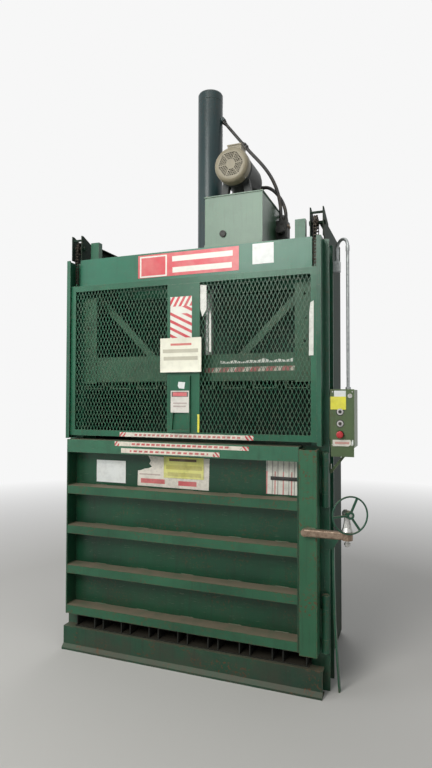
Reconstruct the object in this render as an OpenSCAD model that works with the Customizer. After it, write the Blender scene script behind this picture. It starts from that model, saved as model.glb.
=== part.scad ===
// Vertical cardboard baler: millimetres, +Z up, front of the machine towards -Y.
// The origin is on the floor, straight below the press cylinder.

/* [Frame] */
// Width over the outside of the side walls
frame_w = 1600; // [1500:10:1800]
// Depth from the front plane to the back wall
frame_d = 860; // [800:10:1000]
// Distance from the front plane to the press cylinder
cylinder_y = 450; // [430:5:470]
// Height of the base beams
base_h = 140; // [120:5:160]
// Height of the posts above the closed gate's top
post_h = 167; // [150:1:200]
// Top edge of the side walls
side_h = 2620; // [2600:5:2760]
// How far the post flanges stand out past the side walls
post_flange = 45; // [30:5:60]
// Thickness of the side and back sheets
sheet_t = 6; // [4:1:8]
// Thickness of the formed steel sections
section_t = 8; // [6:1:10]

/* [Chamber] */
// Number of floor channels, with a tie slot between each two
channels = 8; // [6:1:9]
// Width of one floor channel
channel_w = 135; // [110:5:140]
// Distance from one floor channel to the next, with eight of them in a frame 1600 wide
channel_pitch = 190; // [180:5:190]
// Height of the floor channels above the base
channel_h = 75; // [60:5:80]

/* [Door] */
// Height of the chamber door
door_h = 1095; // [1050:5:1120]
// Depth of the door's ribs in front of its skin
rib_d = 94; // [80:2:100]
// Height of a rib's front face
rib_h = 52; // [40:2:60]
// Distance from one rib to the next
rib_pitch = 250; // [230:5:250]
// Number of ribs
ribs = 4; // [2:1:4]
// Height of the door's top rail
door_rail_h = 80; // [60:5:90]

/* [Latch] */
// Width of the latch bar
bar_w = 95; // [80:5:100]
// Height of the latch lever above the floor
lever_z = 875; // [820:5:900]
// How far the lever reaches past the latch hinge
lever_reach = 158; // [150:2:190]
// Diameter of the handwheel
wheel_d = 198; // [160:2:210]
// Outer diameter of every hinge knuckle
knuckle_d = 42; // [38:1:44]
// Diameter of every hinge pin
pin_d = 22; // [18:1:24]

/* [Gate] */
// Height of the gate
gate_h = 953; // [900:1:960]
// Gap between the door and the gate
gate_gap = 25; // [15:1:35]
// How far the gate lifts
gate_lift = 210; // [150:5:210]
// Width of the gate's centre plate
centre_w = 210; // [180:5:230]
// Rows of openings in one expanded-metal pane
mesh_rows = 14; // [8:1:15]
// Columns of openings in one expanded-metal pane
mesh_cols = 8; // [5:1:8]
// Width of the strands between the openings
strand = 9; // [6:1:12]

/* [Press] */
// Stroke of the platen
stroke = 800; // [700:10:840]
// Height of the platen's underside when it is parked
platen_z = 1641; // [1630:1:1680]
// Height of the platen beams
platen_beam_h = 144; // [120:4:160]
// Outer diameter of the cylinder barrel
barrel_d = 166; // [150:1:170]
// Bore of the cylinder
bore_d = 134; // [110:1:136]
// Diameter of the piston rod
rod_d = 80; // [60:1:90]
// Height of the cylinder's top above the deck
cylinder_top = 1137; // [1090:1:1300]

/* [Power unit] */
// Width of the oil tank
tank_w = 360; // [320:4:380]
// Depth of the oil tank
tank_d = 420; // [380:5:460]
// Height of the oil tank
tank_h = 290; // [240:5:320]
// Diameter of the motor's fan cover
motor_d = 212; // [190:2:230]
// Length of the motor body behind the fan cover
motor_len = 300; // [240:5:340]

/* [Control box] */
// Width of the control box
box_w = 122; // [114:2:160]
// Height of the control box
box_h = 308; // [280:2:340]
// Depth of the control box
box_d = 170; // [120:5:190]
// Diameter of the push-button rings
ring_d = 34; // [26:1:38]

/* [Hidden] */

$fn = 48;
// Running clearance of a pin or shaft in its bore, on the radius
run = 0.06;
// Gap that keeps a moving piece off its neighbour
gap = 5;
// Gap between round pieces that only seat against each other
seat = 0.3;

// Main planes
front = -cylinder_y;
back = frame_d - cylinder_y;
wall_x = frame_w/2;
door_z0 = base_h + channel_h + 10;
door_z1 = door_z0 + door_h;
gate_z0 = door_z1 + gate_gap;
gate_z1 = gate_z0 + gate_h;
post_z1 = gate_z1 + post_h;
deck_z = post_z1 + 25;
floor_z = base_h + channel_h;

// Posts: a closed pocket behind the front plate, with flanges that stand outwards
post_y0 = front + 90;
post_y1 = front + 240;
post_inner = wall_x - 55;
post_outer = wall_x + post_flange;
pocket_x0 = post_inner + 6;
pocket_x1 = wall_x;

// Door and its hinge on the left post
door_front = post_y0 - 2 - 6 - rib_d;
door_skin_y0 = post_y0 - 8;
door_skin_y1 = post_y0 - 2;
door_x0 = -wall_x + gap;
door_x1 = wall_x - 2*gap;
knuckle_r = knuckle_d/2;
hinge_y = post_y0 - knuckle_r - 1;
hinge_x = wall_x + 25;

// Latch bar and lever on the right post
bar_x0 = door_x1 + gap - bar_w;
bar_x1 = door_x1 + gap;
bar_front = door_front - 18;
bar_z0 = floor_z + 3;
bar_z1 = door_z1 - 13;
lever_h = 40;
lever_t = 34;
lever_y1 = bar_front;
lever_y0 = bar_front - lever_t;
swivel_r = 28;
swivel_x = hinge_x + lever_reach - swivel_r;
swivel_y = (lever_y0 + lever_y1)/2;
screw_z = lever_z + 113;
wheel_angle = 32;
wheel_off = 35;
screw_r = 8;
screw_tail = 34;

// Gate
gate_y0 = front + 15;
gate_y1 = front + 50;
gate_x = wall_x - gap;
stile_w = 38;
rail_h = 36;

// Gate chains
chain_pitch = 19.05;
wheel_teeth = 12;
wheel_r = chain_pitch/2/sin(180/wheel_teeth);
roller_r = 4.5;
chain_x = wall_x - 25;
wheel_y = post_y0;
chain_wheel_z = max(gate_z1 + gate_lift + 52, post_z1 + wheel_r + 15);
chain_y = wheel_y - wheel_r;
lug_z = gate_z1 + 14;
weight_h = 620;
weight_top = gate_z1 - 60;

// Press
rod_r = rod_d/2;
bore_r = bore_d/2;
barrel_r = barrel_d/2;
barrel_z0 = deck_z - 200;
cyl_z1 = deck_z + cylinder_top;
platen_top = platen_z + 45 + 12 + platen_beam_h;
platen_y0 = post_y0 + 10;
platen_y1 = back - 115;
platen_x = post_inner - gap;

// Power unit
tank_x0 = barrel_r + 16;
tank_x1 = tank_x0 + tank_w;
tank_y0 = front + 110;
tank_y1 = tank_y0 + tank_d;
tank_z0 = deck_z + 12;
tank_z1 = tank_z0 + tank_h;
plug_x = tank_x0 + 116;
plug_z = tank_z0 + 62;
motor_x = (tank_x0 + tank_x1)/2 - 6;
motor_z = tank_z1 + 6 + 26 + 142;
motor_r = motor_d/2;
cover_y0 = front + 78;
cover_len = 62;
body_y0 = cover_y0 + cover_len - 8;
body_y1 = body_y0 + motor_len;

// Control box
box_x0 = post_outer + 13;
box_x1 = box_x0 + box_w;
box_y0 = front + 54;
box_y1 = box_y0 + box_d;
box_z0 = door_z1 + 2;
box_z1 = box_z0 + box_h;
button_x = box_x0 + 0.41*box_w;
button_y = box_y0 - 4;
start_z = box_z0 + 0.614*box_h;
selector_z = box_z0 + 0.4075*box_h;
stop_z = box_z0 + 0.2175*box_h;
key_z = box_z1 - 34;
key_x = box_x1 - 20;

// Hoses: round points chosen by hand, as offsets from the cylinder's port and the valve block
hose_r = 11;
port_z = cyl_z1 - 178;
port_tilt = 142;
port_boss = 26;
rod_top = port_z - 27;
piston_h = 60;
port_low_z = deck_z + 49;
valve_x0 = tank_x1;
valve_x1 = valve_x0 + 70;
valve_y0 = front + 430;
valve_y1 = valve_y0 + 80;
valve_z0 = tank_z0 + 100;
valve_z1 = valve_z0 + 110;

green = [0.16, 0.42, 0.32];
dark_green = [0.10, 0.28, 0.20];
sage = [0.42, 0.54, 0.42];
teal = [0.18, 0.28, 0.30];
steel = [0.55, 0.55, 0.54];
dark = [0.12, 0.12, 0.12];
cream = [0.78, 0.74, 0.56];
olive = [0.28, 0.38, 0.24];

// A block between two corners
module block(a, b) translate(a) cube([b[0] - a[0], b[1] - a[1], b[2] - a[2]]);
// A profile in (Y, Z), drawn out along X
module along_x(x0, x1) translate([x0, 0, 0]) rotate([90, 0, 90]) linear_extrude(x1 - x0) children();
// A profile in (X, Z), drawn out along Y
module along_y(y0, y1) translate([0, y1, 0]) rotate([90, 0, 0]) linear_extrude(y1 - y0) children();
// A rod along Y from y0 to y1
module rod_y(x, z, r, y0, y1) translate([x, y0, z]) rotate([-90, 0, 0]) cylinder(r = r, h = y1 - y0);
// A rod along X from x0 to x1
module rod_x(y, z, r, x0, x1) translate([x0, y, z]) rotate([0, 90, 0]) cylinder(r = r, h = x1 - x0);
// Both sides of the machine
module both_sides() { children(); mirror([1, 0, 0]) children(); }
// Channel positions across the machine
// The channels keep the same distance from both posts when the frame or their number changes
channel_span = 7*channel_pitch + frame_w - 1600;
channel_step = channel_span/(channels - 1);
function channel_x(i) = (i - (channels - 1)/2)*channel_step;
// An inverted U channel of width w and height h, as a profile on its base line
module hat(w, h, t) polygon([[-w/2, 0], [-w/2, h], [w/2, h], [w/2, 0], [w/2 - t, 0], [w/2 - t, h - t],
    [-w/2 + t, h - t], [-w/2 + t, 0]]);

// Base: a formed front beam with a toe lip, a rear beam and runners
runner_x = post_inner - 70;
module base_frame() color(dark_green) {
    along_x(-wall_x - 18, wall_x + 18) polygon([[front - 20, 0], [front - 20, 12], [front, 32],
        [front, base_h], [front + 60, base_h], [front + 60, base_h - section_t],
        [front + section_t, base_h - section_t], [front + section_t, section_t],
        [front + 60, section_t], [front + 60, 0]]);
    along_x(-wall_x + sheet_t, wall_x - sheet_t) polygon([[back - 60, 0], [back - 60, section_t],
        [back - section_t, section_t], [back - section_t, base_h - section_t],
        [back - 60, base_h - section_t], [back - 60, base_h], [back, base_h], [back, 0]]);
    for (x = [-runner_x, -runner_x/2, 0, runner_x/2, runner_x])
        block([x - 35, front + 60 - section_t, 0], [x + 35, back - 60 + section_t, base_h]);
}

// Chamber floor: a bottom sheet and hollow channels, with tie slots between them
module chamber_floor() color(dark) {
    block([-post_inner + 1, front + 20, base_h], [post_inner - 1, back_sheet_y, base_h + sheet_t]);
    for (i = [0:channels - 1])
        translate([channel_x(i), 0, 0]) along_y(front + 20, back_sheet_y - 50)
            translate([0, base_h + sheet_t]) hat(channel_w, channel_h - sheet_t, sheet_t);
}

// Post: front plate, closed pocket for the counterweight, and outward flanges
module post() difference() {
    linear_extrude(post_z1) union() {
        translate([post_inner, post_y0]) square([post_outer - post_inner, 8]);
        translate([post_inner, post_y1 - 8]) square([post_outer - post_inner, 8]);
        translate([post_inner, post_y0]) square([6, post_y1 - post_y0]);
        translate([pocket_x1, post_y0]) square([7, post_y1 - post_y0]);
    }
    // Holes for the bolts of the chain wheel bracket
    for (y = [post_y0 + 40, post_y0 + 110])
        rod_x(y, post_z1 - 60, 6.5, wall_x - 20, wall_x + 30);
}
// The right post also carries a gusset below the latch lever, and from it a strip of the flange that was
// bent outwards: its middle line, as distance from the post and share of its height
strip_z1 = lever_z - 122;
strip_w = 10;
bow = [[17, 1.02], [17, 1], [18, 0.79], [24, 0.49], [37, 0.195], [47, 0]];
module right_post() color(green) {
    post();
    along_y(post_y0, post_y0 + 8) polygon([[post_outer, strip_z1 + 67], [post_outer + 47, strip_z1 + 67],
        [post_outer + 47, strip_z1 + 63], [post_outer + 16, strip_z1 + 9], [post_outer, strip_z1 + 9]]);
    along_y(post_y0, post_y0 + 30) polygon(concat(
        [for (b = bow) [post_outer + b[0] + strip_w/2, b[1]*strip_z1]],
        [for (i = [len(bow) - 1:-1:0]) [post_outer + bow[i][0] - strip_w/2, bow[i][1]*strip_z1]]));
}
module left_post() color(green) mirror([1, 0, 0]) post();

// Gate guides: an angle in front of each post, whose lip holds the gate
guide_z0 = door_z1 + 6;
module gate_guides() color(green) both_sides() linear_extrude_at(guide_z0, post_z1) {
    translate([wall_x - 9, front]) square([25, 6]);
    translate([wall_x + 10, front]) square([6, post_y0 - front]);
}
module linear_extrude_at(z0, z1) translate([0, 0, z0]) linear_extrude(z1 - z0) children();

// Side walls, with a return flange at the back
module side_wall() {
    block([wall_x - sheet_t, post_y1, 20], [wall_x, back, side_h]);
    block([wall_x - 40, back - sheet_t, base_h], [wall_x, back, side_h]);
    block([wall_x - 40, post_y1, side_h - sheet_t], [wall_x, back, side_h]);
}
module left_side_wall() color(dark_green) mirror([1, 0, 0]) side_wall();
module right_side_wall() color(dark_green) side_wall();

// Back wall: a sheet with level ribs outside
back_sheet_y = back - 60;
back_ribs = 7;
back_pitch = (deck_z - base_h - 200)/(back_ribs - 1);
module back_wall() color(dark_green) {
    block([-wall_x + sheet_t, back_sheet_y, base_h], [wall_x - sheet_t, back_sheet_y + sheet_t, deck_z]);
    for (i = [0:back_ribs - 1])
        along_x(-wall_x + 40, wall_x - 40) translate([back_sheet_y + sheet_t, base_h + 90 + i*back_pitch])
            polygon([[0, 0], [48, 0], [48, 60], [0, 60], [0, 54], [42, 54], [42, 6], [0, 6]]);
}

// Header panel over the feed opening: a folded sheet between the posts
header_x = wall_x - 43;
header_z0 = gate_z1 + 6;
header_z1 = post_z1 + 14;
module header_panel() color(green) along_x(-header_x, header_x) polygon([
    [post_y0 - 28, header_z0], [post_y0 - 28, header_z1], [post_y0, header_z1], [post_y0, header_z1 - sheet_t],
    [post_y0 - 28 + sheet_t, header_z1 - sheet_t], [post_y0 - 28 + sheet_t, header_z0 + sheet_t],
    [post_y0, header_z0 + sheet_t], [post_y0, header_z0]]);

// Top frame: front deck channel, two cross beams, the cylinder plate and two stub tubes
beam_w = 60;
beam_y = [-barrel_r - 57 - beam_w, barrel_r + 57];
stub_x0 = post_inner - 95;
stub_x1 = post_inner - 35;
stub_h = 110;
module top_frame() color(dark_green) difference() {
    union() {
        along_x(-post_inner, post_inner) polygon([[post_y0 + 10, post_z1 - 40], [post_y0 + 10, deck_z],
            [post_y0 + 80, deck_z], [post_y0 + 80, deck_z - section_t],
            [post_y0 + 10 + section_t, deck_z - section_t], [post_y0 + 10 + section_t, post_z1 - 40]]);
        for (y = beam_y)
            along_x(-wall_x + sheet_t, wall_x - sheet_t) polygon([[y, barrel_z0 + 10],
                [y, deck_z], [y + beam_w, deck_z], [y + beam_w, deck_z - section_t], [y + section_t,
                deck_z - section_t], [y + section_t, barrel_z0 + 10 + section_t], [y + beam_w,
                barrel_z0 + 10 + section_t], [y + beam_w, barrel_z0 + 10]]);
        block([-180, beam_y[0], deck_z - plate_t], [180, beam_y[1] + beam_w, deck_z]);
        for (x = [-runner_x, runner_x])
            block([x - 30, post_y0 + 10 + section_t, deck_z - 80], [x + 30, beam_y[1] + beam_w, deck_z]);
        both_sides() difference() {
            block([stub_x0, post_y0 + 20, deck_z - section_t], [stub_x1, post_y0 + 60, deck_z + stub_h]);
            block([stub_x0 + 5, post_y0 + 25, deck_z], [stub_x1 - 5, post_y0 + 55, deck_z + stub_h + 1]);
        }
        for (x = [-wall_x + sheet_t, wall_x - sheet_t - 40])
            block([x, post_y1, deck_z - 80], [x + 40, beam_y[0], deck_z]);
    }
    translate([0, 0, deck_z - 40]) cylinder(r = barrel_r + seat, h = 50);
    bolt_circle() translate([0, 0, deck_z - 40]) cylinder(r = 7, h = 50);
}

// Chain wheel brackets: two plates on each post with a tie bar and the wheel's axle
plate_in = post_inner;
plate_out = wall_x + 16;
module chain_wheel_brackets() color(dark_green) both_sides() {
    for (x = [plate_in, plate_out])
        difference() {
            along_x(x, x + 6) polygon([[post_y0 + 2, post_z1], [post_y0 + 2, header_z1 + 2],
                [front + 58, header_z1 + 2], [front + 58, chain_wheel_z + 80], [front + 76, chain_wheel_z + 80],
                [post_y1 - 20, chain_wheel_z + 25], [post_y1 - 20, post_z1]]);
            rod_x(wheel_y, chain_wheel_z, 9, x - 1, x + 7);
        }
    block([plate_in + 6, front + 62, chain_wheel_z + 45], [plate_out, front + 70, chain_wheel_z + 57]);
    block([plate_in + 6, post_y1 - 40, post_z1], [plate_out, post_y1 - 20, post_z1 + 8]);
    rod_x(wheel_y, chain_wheel_z, 8.9, plate_in - 6, plate_out + 12);
    for (x = [plate_in - 8, plate_out + 6])
        rod_x(wheel_y, chain_wheel_z, 14, x, x + 8);
}

// The two outer knuckles of one hinge, each on its weld pad
outer_share = 0.24;
module fixed_knuckles(z0, z1) {
    outer = (z1 - z0)*outer_share;
    difference() {
        for (z = [z0, z1 - outer + seat]) translate([0, 0, z]) {
            cylinder(r = knuckle_r, h = outer - seat);
            block([-12, 13, 0], [12, knuckle_r + 1, outer - seat]);
        }
        translate([0, 0, z0 - 1]) cylinder(r = pin_d/2 + run, h = z1 - z0 + 2);
    }
}
upper_hinge = [door_z1 - 325, door_z1 - 34];
lower_hinge = [door_z0 - 12, door_z0 + 295];
pin_head = 5;
module frame_hinge_knuckles() color(green) both_sides() for (h = [upper_hinge, lower_hinge])
    translate([hinge_x, hinge_y, 0]) fixed_knuckles(h[0], h[1]);
module hinge_pins() color(steel) both_sides() for (h = [upper_hinge, lower_hinge])
    translate([hinge_x, hinge_y, 0]) {
        translate([0, 0, h[0] - pin_head]) cylinder(r = pin_d/2, h = h[1] - h[0] + 2*pin_head);
        for (z = [h[0] - pin_head, h[1]]) translate([0, 0, z]) cylinder(r = pin_d/2 + 3, h = pin_head);
    }

// Door: skin with folded end plates, top rail, ribs and hinge knuckles
module door_panel() color(green) {
    block([door_x0, door_skin_y0, door_z0], [door_x1, door_skin_y1, door_z1]);
    block([door_x0, door_front, door_z0], [door_x0 + section_t, door_skin_y0, door_z1 - door_rail_h]);
    block([bar_x0 - gap - section_t, door_front, door_z0], [bar_x0 - gap, door_skin_y0, door_z1 - door_rail_h]);
}
module door_top_rail() color(green) along_x(door_x0, bar_x0 - gap) polygon([
    [door_front, door_z1 - door_rail_h], [door_front, door_z1], [door_skin_y0, door_z1],
    [door_skin_y0, door_z1 - section_t], [door_front + section_t, door_z1 - section_t],
    [door_front + section_t, door_z1 - door_rail_h + section_t],
    [door_skin_y0, door_z1 - door_rail_h + section_t], [door_skin_y0, door_z1 - door_rail_h]]);
module door_ribs() color(green) for (i = [0:ribs - 1])
    along_x(door_x0 + section_t, bar_x0 - gap - section_t) translate([0, door_z0 + 2 + i*rib_pitch])
        polygon([[door_front, 0], [door_front, rib_h], [door_skin_y0, rib_h], [door_skin_y0,
            rib_h - section_t], [door_front + section_t, rib_h - section_t],
            [door_front + section_t, section_t], [door_front + 30, section_t], [door_front + 30, 0]]);
module leaf(x0, x1, z0, z1) block([x0, hinge_y - 4, z0], [x1, hinge_y + 4, z1]);
module hinge_arm(x_side, z0, z1) {
    outer = (z1 - z0)*outer_share;
    difference() {
        union() {
            translate([hinge_x, hinge_y, z0 + outer]) cylinder(r = knuckle_r, h = z1 - z0 - 2*outer);
            leaf(x_side, hinge_x, z0 + outer + 4, z1 - outer - 4);
        }
        translate([hinge_x, hinge_y, z0 - 1]) cylinder(r = pin_d/2 + run, h = z1 - z0 + 2);
    }
}
module door_hinge_knuckles() color(green) mirror([1, 0, 0])
    for (h = [upper_hinge, lower_hinge]) hinge_arm(-door_x0, h[0], h[1]);

// Latch: a full-height channel hinged on the right post, and a lever welded across its face
module latch_bar() color(green) linear_extrude_at(bar_z0, bar_z1) polygon([[bar_x0, door_skin_y0 - seat],
    [bar_x0, bar_front], [bar_x1, bar_front], [bar_x1, hinge_y + 4], [bar_x1 - section_t, hinge_y + 4],
    [bar_x1 - section_t, bar_front + section_t], [bar_x0 + section_t, bar_front + section_t],
    [bar_x0 + section_t, door_skin_y0 - seat]]);
module latch_hinge_knuckles() color(green)
    for (h = [upper_hinge, lower_hinge]) hinge_arm(bar_x1, h[0], h[1]);
lever_x0 = bar_x0 + 16;
lever_round = 9;
module latch_lever() color(steel) difference() {
    union() {
        along_x(lever_x0 + lever_h/2, swivel_x) union() {
            translate([lever_y0 + lever_round, lever_z - lever_h/2]) square([lever_t - 2*lever_round, lever_h]);
            translate([lever_y0, lever_z - lever_h/2 + lever_round]) square([lever_t, lever_h - 2*lever_round]);
            for (y = [lever_y0 + lever_round, lever_y1 - lever_round])
                for (z = [-1, 1]) translate([y, lever_z + z*(lever_h/2 - lever_round)]) circle(r = lever_round);
        }
        rod_y(lever_x0 + lever_h/2, lever_z, lever_h/2, lever_y0 + 2, lever_y1);
        translate([swivel_x, swivel_y, lever_z - lever_h/2]) cylinder(r = swivel_r, h = lever_h);
    }
    translate([swivel_x, swivel_y, lever_z - 60]) cylinder(r = 10 + run, h = 120);
}
// Swivel block: a cone on a flange, a stud down through the lever, and the screw's housing on top
module swivel_block() color(steel) translate([swivel_x, swivel_y, 0]) difference() {
    union() {
        translate([0, 0, lever_z - lever_h/2 - 34]) cylinder(r = 10, h = lever_h + 40);
        translate([0, 0, lever_z - lever_h/2 - 26]) cylinder(r = 16, h = 12, $fn = 6);
        translate([0, 0, lever_z + lever_h/2 + seat]) rotate_extrude() polygon([[0, 0], [30, 0], [30, 6], [27, 12],
            [22, 24], [18, 46], [16, 64], [16, screw_z - lever_z - lever_h/2 - 12],
            [0, screw_z - lever_z - lever_h/2 - 12]]);
        translate([0, 0, screw_z]) rotate([0, 0, wheel_angle]) rotate([90, 0, 0])
            translate([0, 0, -20]) cylinder(r = 21, h = 40);
    }
    translate([0, 0, screw_z]) rotate([0, 0, wheel_angle]) rotate([90, 0, 0])
        translate([0, 0, -60]) cylinder(r = screw_r + run, h = 120);
}
// The clamp screw, a plain rod with a ball tip, and the handwheel on its front end
module on_screw() translate([swivel_x, swivel_y, screw_z]) rotate([0, 0, wheel_angle])
    rotate([90, 0, 0]) children();
module clamp_screw() color(steel) on_screw() {
    translate([0, 0, -screw_tail]) cylinder(r = screw_r, h = screw_tail + wheel_off + 8);
    translate([0, 0, -screw_tail - 5]) cylinder(r1 = screw_r - 3, r2 = screw_r, h = 5);
}
wheel_r1 = wheel_d/2;
module handwheel() color(green) on_screw() translate([0, 0, wheel_off]) difference() {
    union() {
        rotate_extrude() translate([wheel_r1 - 4.5, 0]) circle(r = 4.5, $fn = 24);
        translate([0, 0, -14]) cylinder(r = 20, h = 22);
        for (a = [65, 185, 305]) rotate([0, 0, a])
            translate([wheel_r1/2 + 4, 0, -2]) cube([wheel_r1 - 22, 11, 7], center = true);
    }
    translate([0, 0, -20]) cylinder(r = screw_r + run, h = 40);
}

// Gate: frame of angle section, two expanded-metal panes behind it and a centre plate
gate_t = 5;
pane_lap = 12;
module gate_frame() color(green) {
    along_y(gate_y0, gate_y0 + gate_t) difference() {
        translate([-gate_x, gate_z0]) square([2*gate_x, gate_h]);
        translate([-gate_x + stile_w, gate_z0 + rail_h]) square([2*(gate_x - stile_w), gate_h - 2*rail_h]);
    }
    along_y(gate_y0, gate_y1) difference() {
        translate([-gate_x, gate_z0]) square([2*gate_x, gate_h]);
        translate([-gate_x + gate_t, gate_z0 + gate_t]) square([2*(gate_x - gate_t), gate_h - 2*gate_t]);
    }
    both_sides() {
        block([chain_x - 13, gate_y0 + gate_t, gate_z1 - 1], [chain_x + 13, chain_y + 8, gate_z1 + 4]);
        chain_eye(chain_y, gate_z1 + 3, lug_z);
    }
}
pane_x0 = centre_w/2 - pane_lap;
pane_x1 = gate_x - stile_w + pane_lap;
pane_z0 = gate_z0 + rail_h - pane_lap;
pane_z1 = gate_z1 - rail_h + pane_lap;
mesh_px = (pane_x1 - pane_x0 - 2*pane_lap)/mesh_cols;
mesh_pz = (pane_z1 - pane_z0 - 2*pane_lap)/mesh_rows;
module diamond(w, h) polygon([[-w/2, 0], [0, -h/2], [w/2, 0], [0, h/2]]);
// One pane: a sheet with staggered diamond openings
module pane() along_y(gate_y0 + gate_t, gate_y0 + gate_t + 4) difference() {
    translate([pane_x0, pane_z0]) square([pane_x1 - pane_x0, pane_z1 - pane_z0]);
    for (r = [0:mesh_rows - 1])
        for (c = [0:mesh_cols - 1 - r%2])
            translate([pane_x0 + pane_lap + (c + 0.5 + 0.5*(r%2))*mesh_px,
                pane_z0 + pane_lap + (r + 0.5)*mesh_pz]) diamond(mesh_px - strand, 1.5*(mesh_pz - strand));
}
module gate_mesh() color(green) both_sides() pane();
// Centre plate with a raised channel, whose lower end is the open hand pocket
channel_x0 = -centre_w*0.36;
channel_x1 = centre_w*0.23;
channel_z1 = gate_z0 + 369;
plate_z0 = gate_z0 + rail_h;
plate_z1 = gate_z1 - rail_h;
module gate_centre_plate() color(green) {
    block([-centre_w/2, gate_y0, plate_z0], [centre_w/2, gate_y0 + gate_t, plate_z1]);
    for (x = [-centre_w/2 + pane_lap + seat, centre_w/2 - pane_lap - seat - gate_t])
        block([x, gate_y0 + gate_t, plate_z0], [x + gate_t, gate_y1 - 8, plate_z1]);
    difference() {
        block([channel_x0, gate_y0 - 13, plate_z0], [channel_x1, gate_y0, channel_z1]);
        along_y(gate_y0 - 14, gate_y0) polygon([[channel_x0 + 8, plate_z0 + 14], [channel_x1 - 8, plate_z0 + 14],
            [channel_x1 - 16, plate_z0 + 118], [channel_x0 + 16, plate_z0 + 118]]);
    }
}

// Chain wheel with teeth between the rollers
root_r = (wheel_r - roller_r - seat)/cos(8.5);
tip_r = wheel_r + 4;
function polar(r, a) = [r*cos(a), r*sin(a)];
function tooth(i) = let (a = 360*(i + 0.5)/wheel_teeth)
    [polar(root_r, a - 6.5), polar(tip_r, a - 2.4), polar(tip_r, a + 2.4), polar(root_r, a + 6.5)];
module chain_wheel() color(steel) translate([chain_x, wheel_y, chain_wheel_z]) rotate([0, 90, 0]) difference() {
    union() {
        translate([0, 0, -3]) linear_extrude(6) polygon([for (i = [0:wheel_teeth - 1]) each tooth(i)]);
        translate([0, 0, -14]) cylinder(r = 20, h = 28);
    }
    translate([0, 0, -30]) cylinder(r = 8.9 + run, h = 60);
}
module left_chain_wheel() mirror([1, 0, 0]) chain_wheel();
module right_chain_wheel() chain_wheel();

// Roller chain: two rows of link plates and the rollers between them
plate_x = [-9, 5];
link_r = 7.5;
module link_strip(points, w) for (x = plate_x) translate([x, 0, 0]) along_x(0, 4) union() {
    for (i = [0:len(points) - 1]) translate(points[i]) circle(r = link_r, $fn = 24);
    for (i = [0:len(points) - 2]) link_bar(points[i], points[i + 1], w);
}
module link_bar(a, b, w) translate(a) rotate(atan2(b[1] - a[1], b[0] - a[0]))
    translate([0, -w/2]) square([norm(b - a), w]);
module rollers(points) for (p = points) rod_x(p[0], p[1], roller_r, -6, 6);
front_links = round((chain_wheel_z - lug_z)/chain_pitch);
wrap_links = wheel_teeth/2;
function wrap_point(i) = [wheel_y - wheel_r*cos(180*i/wrap_links), chain_wheel_z + wheel_r*sin(180*i/wrap_links)];
front_pitch = (chain_wheel_z - lug_z)/front_links;
front_run = concat([for (i = [0:front_links - 1]) [chain_y, lug_z + i*front_pitch]],
    [for (i = [0:wrap_links]) wrap_point(i)]);
rear_top = chain_wheel_z - chain_pitch;
rear_z0 = weight_top + 12;
rear_links = round((rear_top - rear_z0)/chain_pitch);
rear_pitch = (rear_top - rear_z0)/rear_links;
rear_run = [for (i = [0:rear_links]) [wheel_y + wheel_r, rear_z0 + i*rear_pitch]];
module chain(points) color(dark) translate([chain_x, 0, 0]) {
    link_strip(points, 9);
    rollers(points);
}
module right_chain() chain(front_run);
module left_chain() mirror([1, 0, 0]) chain(front_run);
module rear_chain() {
    chain(rear_run);
    for (x = plate_x) color(dark)
        block([chain_x + x, wheel_y + wheel_r - 4.5, rear_top], [chain_x + x + 4, wheel_y + wheel_r + 4.5,
            chain_wheel_z - link_r - seat]);
}
module right_rear_chain() rear_chain();
module left_rear_chain() mirror([1, 0, 0]) rear_chain();
// Counterweight: a flat bar in the post's pocket, with an eye for the chain's last roller
module chain_eye(y, z0, z) difference() {
    block([chain_x - 3, y - 8, z0], [chain_x + 3, y + 8, z + 8]);
    rod_x(y, z, roller_r + run, chain_x - 4, chain_x + 4);
}
module counterweight() color(dark) {
    block([pocket_x0 + 4, post_y0 + 14, weight_top - weight_h], [pocket_x1 - 4, post_y1 - 34, weight_top]);
    chain_eye(wheel_y + wheel_r, weight_top, rear_z0);
}
module left_counterweight() mirror([1, 0, 0]) counterweight();
module right_counterweight() counterweight();

// Cylinder: a tube closed at the top, with a flange under the deck and two ports
plate_t = 30;
flange_t = 22;
module bolt_circle() for (a = [0:60:300]) rotate(a) translate([barrel_r + 28, 0, 0]) children();
// Places a child on the upper port, along the slanting feed pipe
module on_port() translate([barrel_r - 4, 0, port_z]) rotate([0, port_tilt, 0]) children();
module cylinder_barrel() color(teal) difference() {
    union() {
        rotate_extrude($fn = 96) polygon([[bore_r, barrel_z0], [barrel_r, barrel_z0],
            [barrel_r, cyl_z1 - 62], [barrel_r - 1.5, cyl_z1 - 60],
            [barrel_r, cyl_z1 - 58], [barrel_r, cyl_z1 - 12],
            [barrel_r - 5, cyl_z1 - 3], [barrel_r - 14, cyl_z1], [0, cyl_z1],
            [0, cyl_z1 - 60], [bore_r, cyl_z1 - 60]]);
        translate([0, 0, deck_z - plate_t - flange_t]) cylinder(r = barrel_r + 48, h = flange_t);
        on_port() cylinder(r = 19, h = port_boss);
        rod_y(0, port_low_z, 19, bore_r + 4, barrel_r + 20);
    }
    translate([0, 0, deck_z - plate_t - flange_t - 1]) cylinder(r = bore_r, h = flange_t + 2, $fn = 96);
    translate([0, 0, port_z - 60]) cylinder(r = bore_r, h = 120, $fn = 96);
    bolt_circle() translate([0, 0, deck_z - plate_t - flange_t - 1]) cylinder(r = 7, h = flange_t + 2);
    on_port() translate([0, 0, -30]) cylinder(r = 8, h = port_boss + 40);
    rod_y(0, port_low_z, 8, bore_r - 10, barrel_r + 21);
}
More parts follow.
